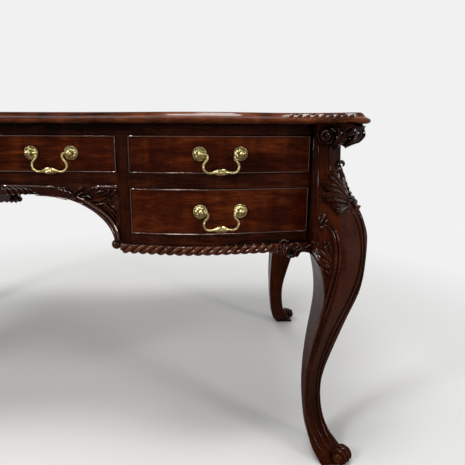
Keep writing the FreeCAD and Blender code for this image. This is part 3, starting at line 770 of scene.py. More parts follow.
arris = ((320.9, 256), (321.6, 262), (323.4, 273), (324.6, 284), (324.8, 295), (323.6, 306),
         (321.2, 317), (317.8, 329), (314.4, 341), (311.2, 353), (308.4, 365), (306.4, 377),
         (305.4, 389), (305.2, 400), (306.2, 412), (308.8, 424), (313.2, 436), (319.4, 448), (327, 459))
outer_line = ((344.2, 212), (346.4, 208.6), (349.6, 208.6), (352.6, 212.5), (356, 219), (359.2, 228),
              (361, 239), (361.8, 251), (360.6, 264), (357.4, 278), (352.6, 291), (346.6, 304),
              (340.4, 316), (333.8, 329), (327.8, 342), (322.8, 355), (319.4, 368), (317.4, 381),
              (316.9, 394), (317.8, 406), (320.2, 418), (324.2, 430), (329.2, 440), (333.4, 448))
outline_bead = ((352, 203.5), (356.4, 208.8), (360.4, 216.6), (362.8, 227), (364.2, 239), (364.4, 251),
                (363.2, 265), (361.4, 278.5), (356.6, 291.5), (350.4, 304.5), (343.8, 317.4),
                (337, 330.4), (330.6, 343.6), (325.4, 356.6), (321.8, 369.6), (319.8, 382),
                (319.4, 393))
inner_scroll = ((322.0, 226.6), (325.2, 225.6), (328.6, 227.4), (331.8, 231.4), (334, 237),
                (335.4, 243), (336, 250), (336, 257), (335.2, 265), (333.8, 272), (331.8, 280),
                (329, 290), (326, 300), (322.6, 311), (318.8, 323))
inner_second = ((327.6, 221.6), (331.2, 225), (334.6, 230), (337.2, 236.4), (339, 243.4), (339.9, 251),
                (339.8, 259), (338.8, 267.6), (337, 277), (334.4, 287), (331, 298), (327.6, 308),
                (324.4, 318))
neck_left = ((318.4, 146), (318, 158), (318, 172), (318.2, 188), (318.6, 204), (318.6, 212))
post_edge = ((313.8, 138), (313.8, 170), (314, 204), (314.2, 236))
neck_right = ((330.2, 144), (329.4, 152), (329.2, 161), (329.6, 168), (331, 174))
knee_hook = ((347.6, 206.6), (348.2, 202.6), (350.6, 200.4), (353.2, 199.8), (355.4, 200.6),
             (355.8, 202.4), (354, 203.2))
neck_curl = ((336.2, 168.4), (336.4, 165), (338, 162.8), (340.4, 161.8), (342.8, 162.8),
             (343.6, 164.8), (342.2, 166.4))
knee_ring = ((343.6, 209.6), (346.8, 207.6), (348.2, 210.4), (346.2, 212.6), (344.4, 211.6))
bead_lines = ((arris, 1.9), (outer_line, 2.3), (outline_bead, 2.3), (inner_scroll, 3.3),
              (inner_second, 2.5), (neck_left, 1.7), (neck_right, 1.7), (post_edge, 1.5))
for spine, radius in bead_lines:
    parts.append(carved_bead(leg_skin, spine, radius))
parts.append(carved_bead(leg_skin, knee_ring, 1.6, steps=12, taper=0.3))
for spine, radius in ((knee_hook, 3.3), (neck_curl, 4.2)):
    parts.append(carved_bead(leg_skin, spine, radius, lift=0.35, steps=14, taper=0.5))
knee_buds = (((321.6, 227.8), 4.4), ((314.2, 243), 2.4), ((318.2, 245.6), 2.2), ((324.6, 242.4), 2.6),
             ((328.8, 243.6), 2.4), ((323.4, 254.8), 2.2))
for dot, radius in knee_buds:
    parts.append(carved_bud(leg_skin, dot, radius, sides=10))

# The bead down the middle of the foot.
foot_bead = ((309.6, 404), (312.8, 417), (318, 430.4), (324.8, 443), (331.4, 452.4))
parts.append(carved_bead(leg_skin, foot_bead, 1.4))

# The eye and the turns of the volute on the leg's front, and the leaves beside it.
eye = (326.4, 136.2)
eye_turns = ((scroll_points(eye, 120, -270, 2.6, 5.0), 2.6), (scroll_points(eye, -250, -560, 5.0, 8.6), 2.8))
for spine, radius in eye_turns:
    parts.append(carved_bead(leg_skin, spine, radius, lift=0.45, taper=0.25))
under_boss = ((329.6, 127.6), (333.6, 129.6), (336.4, 133.6), (337.2, 138.6), (336.2, 143), (334.4, 146.6))
parts.append(carved_bead(leg_skin, under_boss, 2.6, lift=0.3, taper=0.3))
shoulder_leaves = (
    (((337.5, 142), (341, 135), (346.5, 129.6), (353, 126.6)), 3.0, 3.4),
    (((339.5, 143), (345.5, 137.4), (351.5, 132.6), (357.4, 129.6)), 2.8, 3.6),
    (((338.5, 146), (339.6, 141.6), (342.8, 138.2)), 2.2, 3.0),
)
for spine, width, height in shoulder_leaves:
    parts.append(carved_leaf(leg_skin, spine, width, height, along=12, curl=1.6))
front_carving = joined("leg_carving_front_right", parts)

# Its twin on the side of the same leg stops short of the corner.
corner_gap = 0.017
across_corner = Matrix(((0, -1, 0, post_x - post_y), (-1, 0, 0, post_x - post_y), (0, 0, 1, 0), (0, 0, 0, 1)))
side_carving = copied(front_carving, "side_carving", across_corner)
alone(side_carving)
bpy.ops.object.mode_set(mode="EDIT")
bpy.ops.mesh.select_all(action="SELECT")
bpy.ops.mesh.bisect(plane_co=(post_x + corner_gap, -post_y + corner_gap, 0.5), plane_no=(1, 1, 0),
                    clear_inner=True, clear_outer=False, use_fill=True)
bpy.ops.object.mode_set(mode="OBJECT")

# The acanthus leaf that rolls over the leg's corner under the top: a middle lobe on
# the diagonal and two at each side, their tips hanging free.

half_root = math.sqrt(0.5)


def by_corner(out, across, z):
    """A place by its distance out of the post's corner along the diagonal, across it, and its height."""
    x = post_x + (out + across) * half_root * mm
    y = -post_y + (across - out) * half_root * mm
    return Vector((x, y, z * mm))


def step_along(steps, at):
    """A value read off a row of steps, in between them in proportion."""
    for (a, low), (b, high) in zip(steps, steps[1:]):
        if at <= b:
            return low + (high - low) * max(at - a, 0) / (b - a)
    return steps[-1][1]


def rolled_lobe(spine, widths, facing, height, ribs, across=12, along=22):
    """A leaf lobe that hangs free along a spine, its outer side towards a direction across the diagonal."""
    line = smooth_line([by_corner(*p) for p in spine], along + 1)
    side = by_corner(math.sin(facing), math.cos(facing), 0) - by_corner(0, 0, 0)
    side.normalize()

    def place(s, t):
        i = row_at(t, along)
        run = run_at(line, i).normalized()
        level_side = (side - run * side.dot(run)).normalized()
        out = level_side.cross(run).normalized()
        half = step_along(widths, t) * (1 + 0.07 * math.cos(11 * math.pi * t))
        rise = height * (1 - s * s) * (1 + rib_share * math.cos(ribs * math.pi * s))
        bent_back = 2.2 * abs(s) ** 3 * t
        return line[i] + level_side * (half * s * mm) + out * ((rise - bent_back) * mm)

    return backed(shaped_grid("lobe", across, along, place), 3.0 * mm)


middle_spine = ((78, 0, 752), (98, 0, 752), (109, 0, 747), (112.5, 0, 739), (109, 0, 730), (101, 0, 724),
                (92, 0, 719.5), (83, 0, 712))
middle_width = ((0, 17), (0.3, 22), (0.5, 21), (0.7, 18), (0.85, 11), (1.0, 1.2))
side_spine = ((70, 15, 750), (86, 20, 748), (93, 23, 741), (90, 24, 732), (82, 23, 724), (73, 21, 714))
inner_spine = ((64, 9, 738), (76, 12, 733), (81, 13, 727), (78, 12, 721), (72, 10, 715))
side_width = ((0, 8), (0.3, 12), (0.6, 11.5), (0.85, 7.5), (1.0, 1.0))
corner_parts = [rolled_lobe(middle_spine, middle_width, 0.0, 4.0, 3)]
for hand in (-1, 1):
    for spine, turned, height, ribs in ((side_spine, 0.75, 3.2, 2), (inner_spine, 0.4, 2.6, 1)):
        on_this_side = [(out, hand * across, z) for out, across, z in spine]
        corner_parts.append(rolled_lobe(on_this_side, side_width, -hand * turned, height, ribs))

# The three ribs that are wound round the toe's roll.
toe_out, toe_radius = 119.0, 17.0
rib_from, rib_sweep, rib_steps = -40, 215, 30
toe_ribs = ((-12.6, 1.7), (0.0, 2.6), (12.6, 1.7))
for across, size in toe_ribs:
    reach = toe_radius + 0.35 * size
    ring, sizes = [], []
    for i in range(rib_steps + 1):
        turn = math.radians(rib_from + rib_sweep * i / rib_steps)
        ring.append(by_corner(toe_out + reach * math.cos(turn), across, toe_radius + reach * math.sin(turn)))
        sizes.append(size * mm * min(1.0, bead_tip + min(i, rib_steps - i) / 4))
    corner_parts.append(tube("toe_rib", ring, sizes))

leg_carving = kept_inside(joined("leg_carving_front_right", [front_carving, side_carving] + corner_parts))
smooth(leg_carving)
on_each_corner(leg_carving, carved_wood)


# The knee brackets: shaped blocks glued between each leg and the rail beside it. They
# are carved with a C-scroll and a bud by the rope's end, and with a double bead along
# the arch that runs on down the leg's inner edge.

finish_nodes("knee_bracket", carved_wood)
bracket_skin = skin_of("knee_brackets_front", "bottom_rail_right", "leg_front_right")
up_right = (0.6, -0.8)
parts = []
bracket_beads = (
    (((278.4, 244.6), (277.8, 250), (278.6, 255)), 2.6),
    (((281.4, 244.2), (281, 250), (281.8, 256)), 3.0),
    (((284.4, 244), (284.4, 250), (285.2, 256.4)), 2.6),
    (((286.4, 256), (286, 251), (287.4, 247.6), (290.6, 245.2), (295, 243.8), (299, 244.2),
      (301, 246.4)), 3.2),
    (((287.6, 255.4), (290.8, 256.6), (294, 256.2), (295.8, 254.2), (295, 252.2)), 3.0),
    (((290, 253.4), (293, 249.8), (297, 247.4), (301, 246.6)), 2.2),
    (((294.6, 253), (297, 250.8), (300.4, 249.4), (304, 249.4), (308, 250.8), (312, 253.8),
      (316, 258.8), (319.2, 264), (321.8, 270.4), (323.8, 280)), 2.6),
    (((299.4, 247.4), (304.2, 247.1), (309.2, 248.8), (313.4, 252), (317.4, 257), (320.4, 262),
      (322.6, 267)), 1.9),
)
for spine, radius in bracket_beads:
    parts.append(carved_bead(bracket_skin, spine, radius, lift=0.35, towards=up_right))
bracket_leaves = (
    (((286, 253.4), (291, 252.4), (298.4, 249.6)), 4.4, 1.2),
    (((310.6, 250.4), (315.4, 254), (320.6, 261.4)), 3.4, 1.6),
    (((279, 244), (281, 241.6), (285.4, 239.6)), 1.9, 2.6),
    (((282.6, 244), (285.8, 242), (289.4, 241)), 1.7, 2.4),
    (((302, 247), (305.4, 243.4), (309.6, 242)), 2.2, 2.8),
    (((305, 247.8), (309.4, 245.4), (313.6, 245)), 2.0, 2.8),
    (((320, 262), (326, 265), (330, 270), (331, 275)), 2.4, 3.0),
)
for spine, width, height in bracket_leaves:
    parts.append(carved_leaf(bracket_skin, spine, width, height, curl=1.0, towards=up_right))
bracket_buds = (((291.4, 251.4), 4.6), ((298.8, 244.8), 3.0), ((313, 241.6), 2.1), ((318, 243.4), 2.0),
                ((323, 247), 2.0), ((327, 245.6), 1.8), ((323, 255), 2.0), ((316.4, 249.4), 1.8),
                ((314.2, 250.8), 2.6), ((316.8, 253.6), 3.0), ((318.8, 257.2), 2.8), ((319.8, 252.6), 2.4))
for dot, radius in bracket_buds:
    parts.append(carved_bud(bracket_skin, dot, radius, towards=up_right))
bracket_carving = kept_inside(joined("bracket_carving_front_right", parts))
smooth(bracket_carving)
on_each_corner(bracket_carving, carved_wood)


# The top: a mahogany board screwed down on the rails and legs, cut to a serpentine
# outline with a moulded edge. Its margin round the leather is a little worn, so the
# polish is thinner there than on the moulding.

top_wood = polished_wood("mahogany_top", (0.020, 0.0040, 0.0015), (0.062, 0.014, 0.0044),
                         (0.13, 0.034, 0.010), polish=0.8)
tree = top_wood.node_tree
moulding_height, face_height = 0.7770, 0.7795
moulding_polish, face_polish = 0.5, 0.28
worn_face = ranged(tree, axes_of(tree, desk_place(tree))["Z"], moulding_height, face_height,
                   moulding_polish, face_polish)
tree.links.new(worn_face, tree.nodes["Principled BSDF"].inputs["Coat Weight"])
finish_nodes("top_panel", top_wood)


# The top's edge: small leaves and buds carved in the moulding of the same board, from
# the middle of each half towards the corner, where they grow larger.

edge_wood = polished_wood("mahogany_edge_leaves", (0.018, 0.0036, 0.0014), (0.052, 0.0115, 0.0038),
                          (0.10, 0.026, 0.0085), figure=0.2, hollow=0.006, gloss=0.3, polish=0.1)
top_skin = skin_of("top_panel")
up = (0, 1)
edge_start = 286.5
leaf_steps = (0, 8.6, 16.4, 25.0, 32.4, 39.8, 46.8, 53.8, 60.4)
parts = []
for i, along in enumerate(leaf_steps):
    u = edge_start + along
    share = min(1.0, 0.45 + i / 14)
    lean = 1.2 * math.sin(2.3 * i)
    long_leaf = ((u, 119.4 + lean * 0.3), (u + 3.4, 117.0), (u + 7.4, 114.9 - lean * 0.4))
    parts.append(carved_leaf(top_skin, long_leaf, 1.5 + 0.8 * share, 2.0 * share + 0.4, curl=0.6, towards=up))
    if i % 2:
        small_leaf = ((u - 2.4, 113.8), (u + 1.2, 114.6), (u + 4.8, 113.5))
        parts.append(carved_leaf(top_skin, small_leaf, 1.1 + 0.4 * share, 1.5 * share, across=6, along=8,
                                 curl=0.2, towards=up))
    dot = (u + 5.4 + 0.4 * lean, 118.6 - 0.3 * lean)
    parts.append(carved_bud(top_skin, dot, 0.9 + 0.7 * share, lift=0.2, sides=10, towards=up))
edge_carving = kept_inside(joined("edge_carving_front_right", parts))
smooth(edge_carving)
on_each_corner(edge_carving, edge_wood)


# Rope mouldings: long half rounds with fat twisted strands, carved in the solid and
# glued under the case. They end in a ribbed leaf collar beside each leg.

rope_wood = polished_wood("mahogany_ropes", (0.026, 0.0054, 0.0018), (0.070, 0.0165, 0.0050),
                          (0.120, 0.034, 0.0105), figure=0.2, hollow=0.010, gloss=0.13, polish=1.0)
rope_radius, rope_drop = 11 * mm, 9 * mm
rope_turn = 60 * mm
rope_strands, rope_core, strand_rise, strand_round = 3, 0.42, 0.68, 0.62
collar_length, collar_size, collar_swell = 17 * mm, 0.86, 0.14
collar_ribs, collar_rib_rise = 9, 0.07
end_length, end_size = 2 * mm, 0.8
rope_inset = 0.3 * mm
front_rope_steps, end_rope_steps = 220, 260
leg_reach = 0.063
case_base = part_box("bottom_rail_right")[0].z
above_base = 4 * mm
finish_nodes("rope", carved_wood)


def twisted_rope(name, line, collar_at_start):
    """A rope along a row of even places, its top flat against the rail, with a collar at its end."""
    runs = lengths_along(line)
    length, count = runs[-1], len(line) - 1

    def place(s, t):
        i = row_at(t, count)
        out = run_at(line, i).normalized().cross(Vector((0, 0, 1))).normalized()
        turn = math.pi * s
        lobe = abs(math.cos(rope_strands / 2 * (turn - math.tau * runs[i] / rope_turn)))
        size = rope_radius * (rope_core + strand_rise * lobe ** strand_round)
        for with_collar, gone in ((collar_at_start, runs[i]), (True, length - runs[i])):
            if with_collar and gone < collar_length:
                ribbed = collar_rib_rise * math.cos(collar_ribs * turn)
                swell = collar_swell * math.sin(math.pi * gone / collar_length)
                size = rope_radius * (collar_size + ribbed + swell)
            if gone < end_length:
                size *= end_size
        spot = line[i] + (out * math.cos(turn) + Vector((0, 0, 1)) * math.sin(turn)) * size
        spot.z = min(spot.z, case_base - 0.1 * mm)
        return spot

    rope = closed(shaped_grid(name, 36, count, place))
    smooth(rope, angle=70)
    return rope


rail_skin = skin_of("bottom_rail_right", "divider_right")
low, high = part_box("rope_front_right")
line = []
for i in range(front_rope_steps + 1):
    x = low.x + rope_inset + (high.x - low.x - 2 * rope_inset) * i / front_rope_steps
    face = rail_skin.ray_cast(Vector((x, -0.6, case_base + above_base)), Vector((0, 1, 0)))[0]
    line.append(Vector((x, face.y, case_base - rope_drop)))
front_rope = twisted_rope("rope_front_right_twist", line, False)
for corner, rope in on_each_corner(front_rope, rope_wood).items():
    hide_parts("rope_" + corner if corner.startswith("front") else "rope_rear_and_ends")

panel_skin = skin_of("end_panel_right")
line = []
for i in range(end_rope_steps + 1):
    y = (post_y - leg_reach) * (2 * i / end_rope_steps - 1)
    face = panel_skin.ray_cast(Vector((0.9, y, case_base + above_base)), Vector((-1, 0, 0)))[0]
    line.append(Vector((face.x - rope_radius / 2, y, case_base - rope_drop)))
end_rope = twisted_rope("rope_end_right_twist", line, True)
dress(copied(end_rope, "rope_end_left_twist", mirror_x), rope_wood)
dress(end_rope, rope_wood)


# The apron: an arched board glued under the rail of the kneehole, with a ball turned at
# each end. Its carving is a fillet under the rail, ribbon-twisted leaves at the middle,
# a reeded strap, acanthus in the corners and a bead along the arched band.

finish_nodes("apron", carved_wood)
bead_wood = polished_wood("mahogany_beads", (0.022, 0.0060, 0.0028), (0.046, 0.0135, 0.0066),
                          (0.075, 0.026, 0.014), figure=0.3, hollow=0.003, gloss=0.07, polish=0.3)
bead_shader = bead_wood.node_tree.nodes["Principled BSDF"]
bead_shader.inputs["Specular IOR Level"].default_value = 0.8
bead_shader.inputs["IOR"].default_value = 2.7
bead_shader.inputs["Specular Tint"].default_value = (1.0, 0.80, 0.72, 1)
apron_skin = skin_of("apron_front")
down = (0, -1)
fillet_beads = (
    (((0.5, 185.9), (18, 186), (36, 186.4), (54, 187.2)), 3.1),
    (((95, 186.4), (107, 186.4), (118.8, 186.6)), 3.1),
    (((77.4, 196.8), (84, 200.2), (91, 204.4), (98, 209), (104, 213.4), (109.6, 218.6), (114, 224.6),
      (117, 231.6), (118.6, 239.4)), 2.9),
    (((77.6, 202), (84.6, 205), (91.6, 208.8), (98.4, 213.4), (104.6, 218.6), (109.8, 225),
      (113.4, 232.2), (115.6, 239.2)), 1.4),
    (((35, 195.2), (45, 195.6), (55, 196.8), (63, 198.6), (68, 200.2)), 1.4),
)
apron_beads = (
    (((52, 187.2), (58.6, 188.6), (64.2, 192), (67.8, 196.4), (71.6, 200.2)), 2.7),
    (((56.8, 187), (62.6, 188.8), (67.2, 192.4), (70.6, 196.6), (74.2, 201)), 2.6),
    (((61.4, 186.8), (66.4, 188.8), (70.2, 192.4), (73.4, 196.6), (76.6, 201.4)), 2.5),
    (((88.6, 192.6), (89.8, 189.6), (93, 188.8), (95.4, 190.8), (94.6, 193.6), (92, 193.8)), 1.6),
    (((112.4, 188.6), (114.8, 192.6), (114.4, 197.4), (111.6, 201.6), (107.6, 203.6)), 1.8),
)
fillets = [carved_bead(apron_skin, spine, radius, lift=0.4, towards=down) for spine, radius in fillet_beads]
parts = [carved_bead(apron_skin, spine, radius, lift=0.4, towards=down) for spine, radius in apron_beads]
apron_leaves = (
    (((73, 199), (74.4, 193.6), (78.6, 189.6), (84.6, 187.2)), 2.3, 3.0),
    (((75, 199.4), (77.4, 195.6), (81.8, 193), (86, 192.6)), 2.0, 3.0),
    (((78, 198), (83, 196.4), (88, 196.6), (92, 198.2)), 2.0, 3.0),
    (((79, 198.6), (86, 200.2), (94, 200.6), (103, 198.4), (110, 196.4)), 2.1, 3.2),
    (((80, 199.6), (88, 203), (96, 204.6), (104, 203.2), (112, 202.4)), 1.9, 3.0),
    (((84, 196), (88, 191.6), (93, 187.8), (98.6, 188.6)), 2.1, 3.0),
    (((90, 197), (95, 193.6), (100, 191.4), (105.6, 191.6)), 2.1, 3.0),
    (((97, 198.6), (101.4, 195.2), (106, 193.4), (110.4, 189.8)), 1.9, 2.8),
    (((102, 196.2), (107.4, 196.4), (112.4, 193.8), (117, 190)), 1.9, 2.8),
    (((108, 199), (112.6, 198.4), (116.6, 196.4), (118.4, 193.6)), 1.7, 2.6),
    (((98, 203.8), (103.6, 204.6), (108.4, 207), (111.6, 211)), 2.2, 3.2),
    (((102, 205.4), (107.6, 209.4), (111.4, 214), (115.4, 218.8)), 2.2, 3.2),
    (((108, 208), (112.4, 210.6), (115.4, 214), (117.6, 216.6)), 1.8, 2.8),
    (((107, 204.4), (111.6, 206), (115.4, 208.4), (118, 211)), 1.8, 2.6),
    (((112, 214.4), (114.6, 218.4), (116.8, 222.6), (118.2, 227)), 1.4, 2.4),
    (((1, 187.6), (5, 190.4), (9, 194.2)), 1.9, 2.6),
    (((6, 187.2), (10.6, 190.4), (15, 194.6)), 1.9, 2.6),
    (((11.4, 187.2), (16.4, 190.4), (21, 194.6)), 1.9, 2.6),
    (((17, 187.2), (22, 190.4), (26.6, 194.6)), 1.9, 2.6),
    (((22.6, 187.2), (27.4, 190.4), (31.6, 194.2)), 1.8, 2.4),
    (((27, 187.6), (31, 190), (34.6, 192.8), (38, 193.2)), 1.5, 2.2),
)
leaf_fuller, leaf_higher = 1.3, 1.2
for spine, width, height in apron_leaves:
    parts.append(carved_leaf(apron_skin, spine, width * leaf_fuller, height * leaf_higher, along=12, curl=1.0,
                             towards=down))
for dot, radius in (((109.4, 191.2), 1.9), ((116.2, 195), 2.0), ((118, 200), 1.4), ((81.2, 190.6), 1.5)):
    parts.append(carved_bud(apron_skin, dot, radius))
apron_carving = joined("apron_carving_front_right", parts)
apron_fillets = joined("apron_fillets_front_right", fillets)
for piece, wood in ((apron_carving, carved_wood), (apron_fillets, bead_wood)):
    smooth(piece)
    on_each_corner(piece, wood)


# Drawer fronts: bowed boards of mahogany chosen for its flame figure, French polished
# to a higher gloss than the rails, and dovetailed to the drawer's sides.

drawer_wood = polished_wood("flame_mahogany", (0.016, 0.0023, 0.0007), (0.043, 0.0064, 0.0014),
                            (0.110, 0.021, 0.0042), figure=0.45, gloss=0.14)
finish_nodes("drawer_front", drawer_wood)


# Cockbeads: a thin round-nosed strip of mahogany let into the edge of each drawer
# front all round. It stands a little proud of the face and shines along its nose.

nose_outline = ((0, 10), (0, -0.5), (0.2, -1.1), (0.65, -1.7), (1.5, -2.0), (2.35, -1.7), (2.8, -1.1),
                (3, -0.5), (3, 10), (1.5, 10), (0, 10))
nose_width, nose_proud, from_side_edge = 3 * mm, 2 * mm, 0.2 * mm
long_steps, short_steps = 48, 4
drawers = ("centre", "left_upper", "left_lower", "right_upper", "right_lower")


def round_nosed_bead(drawer):
    """The bead round one drawer front, mitred at its corners."""
    low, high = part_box("drawer_bead_" + drawer)
    skin = skin_of("drawer_bead_" + drawer)
    trip = [(i / long_steps, 0) for i in range(long_steps + 1)]
    trip += [(1, i / short_steps) for i in range(1, short_steps + 1)]
    trip += [(1 - i / long_steps, 1) for i in range(1, long_steps + 1)]
    trip += [(0, 1 - i / short_steps) for i in range(1, short_steps + 1)]
    faces = {}

    def face_at(x):
        key = round(x, 6)
        if key not in faces:
            inside = min(max(x, low.x + from_side_edge), high.x - from_side_edge)
            start = Vector((inside, -0.7, high.z - nose_width / 2))
            faces[key] = skin.ray_cast(start, Vector((0, 1, 0)))[0].y + nose_proud
        return faces[key]

    def place(s, t):
        u, v = nose_outline[row_at((s + 1) / 2, len(nose_outline) - 1)]
        across, upwards = trip[row_at(t, len(trip) - 1)]
        inset = nose_width - u * mm
        x = low.x + inset + (high.x - low.x - 2 * inset) * across
        z = low.z + inset + (high.z - low.z - 2 * inset) * upwards
        return Vector((x, face_at(x) + v * mm, z))

    name = "round_bead_" + drawer
    bead = closed(shaped_grid(name, len(nose_outline) - 1, len(trip) - 1, place), open_ends=False)
    smooth(bead, angle=40)
    return renamed(bead, name)


for drawer in drawers:
    bead = dress(round_nosed_bead(drawer), bead_wood, "drawer_" + drawer)
    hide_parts("drawer_bead_" + drawer)


# Drawer linings and the boards between the drawers: linings of quarter-sawn oak and
# boards of pine, waxed and bare of polish, darkened a little by age.

lining_wood = polished_wood("oak_lining", (0.16, 0.085, 0.036), (0.30, 0.175, 0.080), (0.42, 0.27, 0.13),
                            along="Y", figure=0.1, hollow=0.02, gloss=0.5, polish=0.0)
board_wood = polished_wood("pine_boards", (0.14, 0.072, 0.030), (0.25, 0.145, 0.064), (0.36, 0.22, 0.105),
                           figure=0.3, hollow=0.02, gloss=0.55, polish=0.0)
finish_nodes(("drawer_box", "drawer_bottom"), lining_wood)
finish_nodes(("dust_boards", "centre_board"), board_wood)


# The writing surface: an oxblood hide let into the top, with a tooled border of gold
# fillets and a running wave between them, waxed, and rubbed where the gold is thin.

border_middle, wave_length, bud_size = 29.0, 24, 1.7
fillet_lines = ((15.0, 0.9), (18.4, 0.35), (21.5, 0.5), (36.5, 0.5), (39.6, 0.35), (43.0, 0.9))
bud_step, bud_shift = 12.0, 606.0
hide, hide_tree, hide_shader = new_paint("tooled_hide")
hide_place = desk_place(hide_tree)
hide_axes = axes_of(hide_tree, hide_place)
hide_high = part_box("leather_skiver")[1]


def tooled(kind, *values):
    """A Math node of the hide."""
    return calculated(hide_tree, kind, *values)


run_x = tooled("MULTIPLY", hide_axes["X"], 1000.0)
run_y = tooled("MULTIPLY", hide_axes["Y"], 1000.0)
from_end = tooled("SUBTRACT", hide_high.x * 1000, tooled("ABSOLUTE", run_x))
from_side = tooled("SUBTRACT", hide_high.y * 1000, tooled("ABSOLUTE", run_y))
edge_gap = tooled("MINIMUM", from_end, from_side)
by_end = tooled("LESS_THAN", from_end, from_side)
along_end = tooled("MULTIPLY", by_end, run_y)
along_side = tooled("MULTIPLY", tooled("SUBTRACT", 1.0, by_end), run_x)
run = tooled("ADD", along_end, along_side)


def gold_line(middle, half_width):
    """A line of gold at a distance from the hide's edge, in millimetres."""
    return tooled("LESS_THAN", tooled("ABSOLUTE", tooled("SUBTRACT", edge_gap, middle)), half_width)


def gold_wave(length, reach):
    """The middle of a line that swings to and fro along the border."""
    swing = tooled("SINE", tooled("MULTIPLY", run, math.tau / length))
    return tooled("MULTIPLY_ADD", swing, reach, border_middle)


bud_run = tooled("PINGPONG", tooled("ADD", run, bud_shift), bud_step / 2)
bud_gap = tooled("SUBTRACT", edge_gap, border_middle)
bud = tooled("ADD", tooled("POWER", bud_run, 2.0), tooled("POWER", bud_gap, 2.0))
gold = tooled("LESS_THAN", bud, bud_size)
lines = [gold_line(middle, half_width) for middle, half_width in fillet_lines]
lines.append(gold_line(gold_wave(wave_length, 3.6), 0.75))
lines.append(gold_line(gold_wave(wave_length / 2, -2.2), 0.42))
for line_of_gold in lines:
    gold = tooled("MAXIMUM", gold, line_of_gold)
rubbed = stretched_noise(hide_tree, hide_place, (160.0, 160.0, 160.0), 3, 0.6)
gold = tooled("MULTIPLY", gold, stepped(hide_tree, rubbed, 0.34, 0.46))
cloud = stretched_noise(hide_tree, hide_place, (5.0, 5.0, 5.0), 4, 0.6)
hide_tone = coloured(hide_tree, cloud, ((0.3, (0.045, 0.010, 0.008)), (0.7, (0.125, 0.032, 0.022))))
gilt = blended(hide_tree, "MIX", hide_tone, (0.70, 0.47, 0.17, 1), gold)
pebbles = hide_tree.nodes.new("ShaderNodeTexVoronoi")
pebbles.inputs["Scale"].default_value = 950.0
hide_tree.links.new(hide_place, pebbles.inputs["Vector"])
pressed = tooled("SUBTRACT", pebbles.outputs["Distance"], tooled("MULTIPLY", gold, 1.4))
hide_tree.links.new(gilt, hide_shader.inputs["Base Color"])
hide_tree.links.new(tooled("MULTIPLY", gold, 0.85), hide_shader.inputs["Metallic"])
hide_tree.links.new(tooled("MULTIPLY_ADD", cloud, 0.16, 0.30), hide_shader.inputs["Roughness"])
hide_shader.inputs["Specular IOR Level"].default_value = 0.4
roughen(hide_tree, hide_shader, pressed, 0.4, 0.0003)
finish_nodes("leather_skiver", hide)


# Drawer handles: cast brass bails with twisted arms and a leafy boss, hung from two
# domed rosettes. Each rosette's post is bolted through the drawer front.

brass, tree, brass_shader = new_paint("aged_brass")
patina = stretched_noise(tree, desk_place(tree), (90.0, 90.0, 90.0), 4, 0.65)
cast_grain = stretched_noise(tree, desk_place(tree), (900.0, 900.0, 900.0), 2, 0.5)
rubbed = openness(tree, 6 * mm, low=0.42, high=0.95, samples=8)
clean = calculated(tree, "MULTIPLY", rubbed, stepped(tree, patina, 0.22, 0.46))
brass_tone = coloured(tree, clean, ((0, (0.040, 0.031, 0.008)), (0.6, (0.44, 0.36, 0.14)),
                                    (1, (0.86, 0.74, 0.36))))
tree.links.new(brass_tone, brass_shader.inputs["Base Color"])
tree.links.new(calculated(tree, "MULTIPLY_ADD", clean, -0.22, 0.52), brass_shader.inputs["Roughness"])
brass_shader.inputs["Metallic"].default_value = 1.0
roughen(tree, brass_shader, cast_grain, 0.3, 0.0002)
finish_nodes(("handle_mounts", "bail"), brass)

# From here to the handles' place, sizes are in millimetres in a handle's own frame: its
# middle between the rosettes, on the drawer's face, with the sitter towards minus Y.
post_half, pin_out = 42.0, 15
rosette_steps = ((3.9, 0.2), (3.9, 3.0), (3.9, 5.7), (4.5, 5.75), (5.4, 5.5), (6.4, 5.3), (7.6, 5.0),
                 (8.8, 4.5), (9.8, 3.9), (10.7, 3.3), (11.4, 2.8), (11.9, 2.7), (12.4, 3.1), (13.0, 3.4),
                 (13.6, 3.3), (14.1, 2.7), (14.5, 1.9), (14.8, 1.2), (14.8, 0.2), (9.0, 0.2), (3.9, 0.2))
petal_from, petal_to, petals_round = 4.6, 11.8, 8
petal_rise, petal_round, petal_dip = 2.3, 0.55, 0.42
rim_from, rim_to, rim_beads = 12.2, 14.3, 22
rim_rise, rim_round, rim_dip = 1.2, 0.7, 0.45
rosette_sides = 88


def petal_rosette(x):
    """Petals round a post, and a beaded rim."""
    def place(s, t):
        radius, height = rosette_steps[row_at(t, len(rosette_steps) - 1)]
        turn = math.pi * s
        if petal_from < radius < petal_to and height > 1:
            dome = math.sin(math.pi * (radius - petal_from) / (petal_to - petal_from))
            petal = abs(math.cos(petals_round / 2 * turn)) ** petal_round - petal_dip
            height += petal_rise * dome * petal
        if rim_from < radius < rim_to and height > 2:
            height += rim_rise * (abs(math.cos(rim_beads / 2 * turn)) ** rim_round - rim_dip)
        return Vector((x + radius * math.cos(turn), -height, radius * math.sin(turn))) * mm

    return closed(shaped_grid("rosette", rosette_sides, len(rosette_steps) - 1, place), open_ends=False)


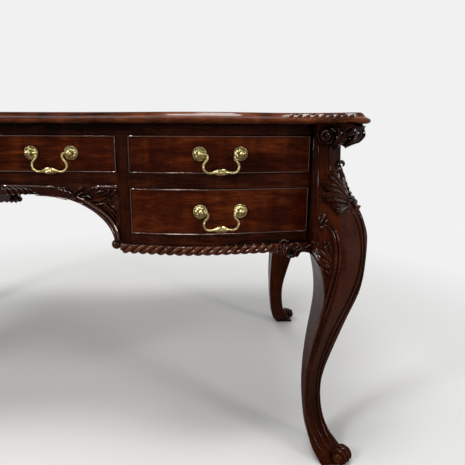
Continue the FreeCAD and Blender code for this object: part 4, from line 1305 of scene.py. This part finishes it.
bail_arm = ((39.4, 0), (36.6, 0), (34.2, -0.1), (31.2, -0.5), (28.6, -2.4), (27.4, -6), (28.2, -10.4),
            (31.2, -14.6), (34.6, -18.8), (36.2, -24), (35.6, -29.6), (32, -34.8), (26.4, -37.6),
            (20.4, -37.8), (14.6, -36.9), (8, -36.4), (0, -36.3))
boss_steps = ((0, 5.3), (4, 5.6), (7.6, 5.9), (9.2, 5.0), (11.6, 4.5), (13.6, 3.7), (15.4, 2.9), (17, 2.4))
boss_half, boss_ribbed, boss_below = 17, 13, -30
boss_ribs, boss_twist, boss_rib_rise = 7, 0.45, 0.18
pin_length, pin_radius = 4.6, 1.95
collar_end, collar_radius = 6.4, 2.9
arm_strands, arm_lead, arm_core, arm_rise = 3, 17.0, 1.45, 1.05
bail_sides, bail_steps = 24, 215
flat_behind, flat_from, flat_past = 0.62, 2.6, 8


def cast_bail():
    """The bail hanging from its pins: pin, collar, twisted arm and ribbed boss, and back."""
    arm = [Vector((x, -pin_out, z)) for x, z in bail_arm]
    line = smooth_line(arm + [Vector((-p.x, p.y, p.z)) for p in reversed(arm[:-1])], bail_steps)
    runs = lengths_along(line)
    count = len(line) - 1

    def place(s, t):
        i = row_at(t, count)
        here = line[i]
        first = Vector((0, -1, 0))
        second = run_at(line, i).normalized().cross(first)
        turn = math.pi * s
        along = min(runs[i], runs[-1] - runs[i])
        from_middle = abs(here.x)
        if along < pin_length:
            size = pin_radius
        elif along < collar_end:
            size = collar_radius
        elif here.z < boss_below and from_middle < boss_half:
            size = step_along(boss_steps, from_middle)
            if from_middle < boss_ribbed:
                ribbed = boss_rib_rise * math.cos(boss_ribs * turn + from_middle * boss_twist)
                size *= 1 + ribbed * math.sin(math.pi * min(from_middle / boss_ribbed + 0.25, 1))
        else:
            hand = 1 if here.x > 0 else -1
            twisted = turn - hand * math.tau * along / arm_lead
            size = arm_core + arm_rise * abs(math.cos(arm_strands / 2 * twisted)) ** 0.8
        front = math.cos(turn)
        if front < 0 and size > flat_from and along > flat_past:
            front *= flat_behind
        return (here + (first * front + second * math.sin(turn)) * size) * mm

    bail = closed(shaped_grid("bail", bail_sides, count, place))
    smooth(bail, angle=60)
    return bail


rosettes = joined("rosettes", [petal_rosette(-post_half), petal_rosette(post_half)])
smooth(rosettes, angle=45)
hanging_bail = cast_bail()
for joint in frame["record"]["behaviour"]["joints"]:
    if not joint["name"].startswith("bail_"):
        continue
    handle, drawer = joint["child"], joint["parent"]
    turned = math.atan2(-joint["axis"][1], -joint["axis"][0])
    to_hinge = Matrix.Translation(Vector(joint["pos_m"])) @ Matrix.Rotation(turned, 4, "Z")
    to_face = to_hinge @ Matrix.Translation((0, pin_out * mm, 0))
    dress(copied(rosettes, handle.replace("bail", "rosettes"), to_face), brass, drawer)
    cast = dress(copied(hanging_bail, "cast_" + handle, to_face), brass, handle)
    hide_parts(handle)
for pattern in (rosettes, hanging_bail):
    bpy.data.objects.remove(pattern, do_unlink=True)
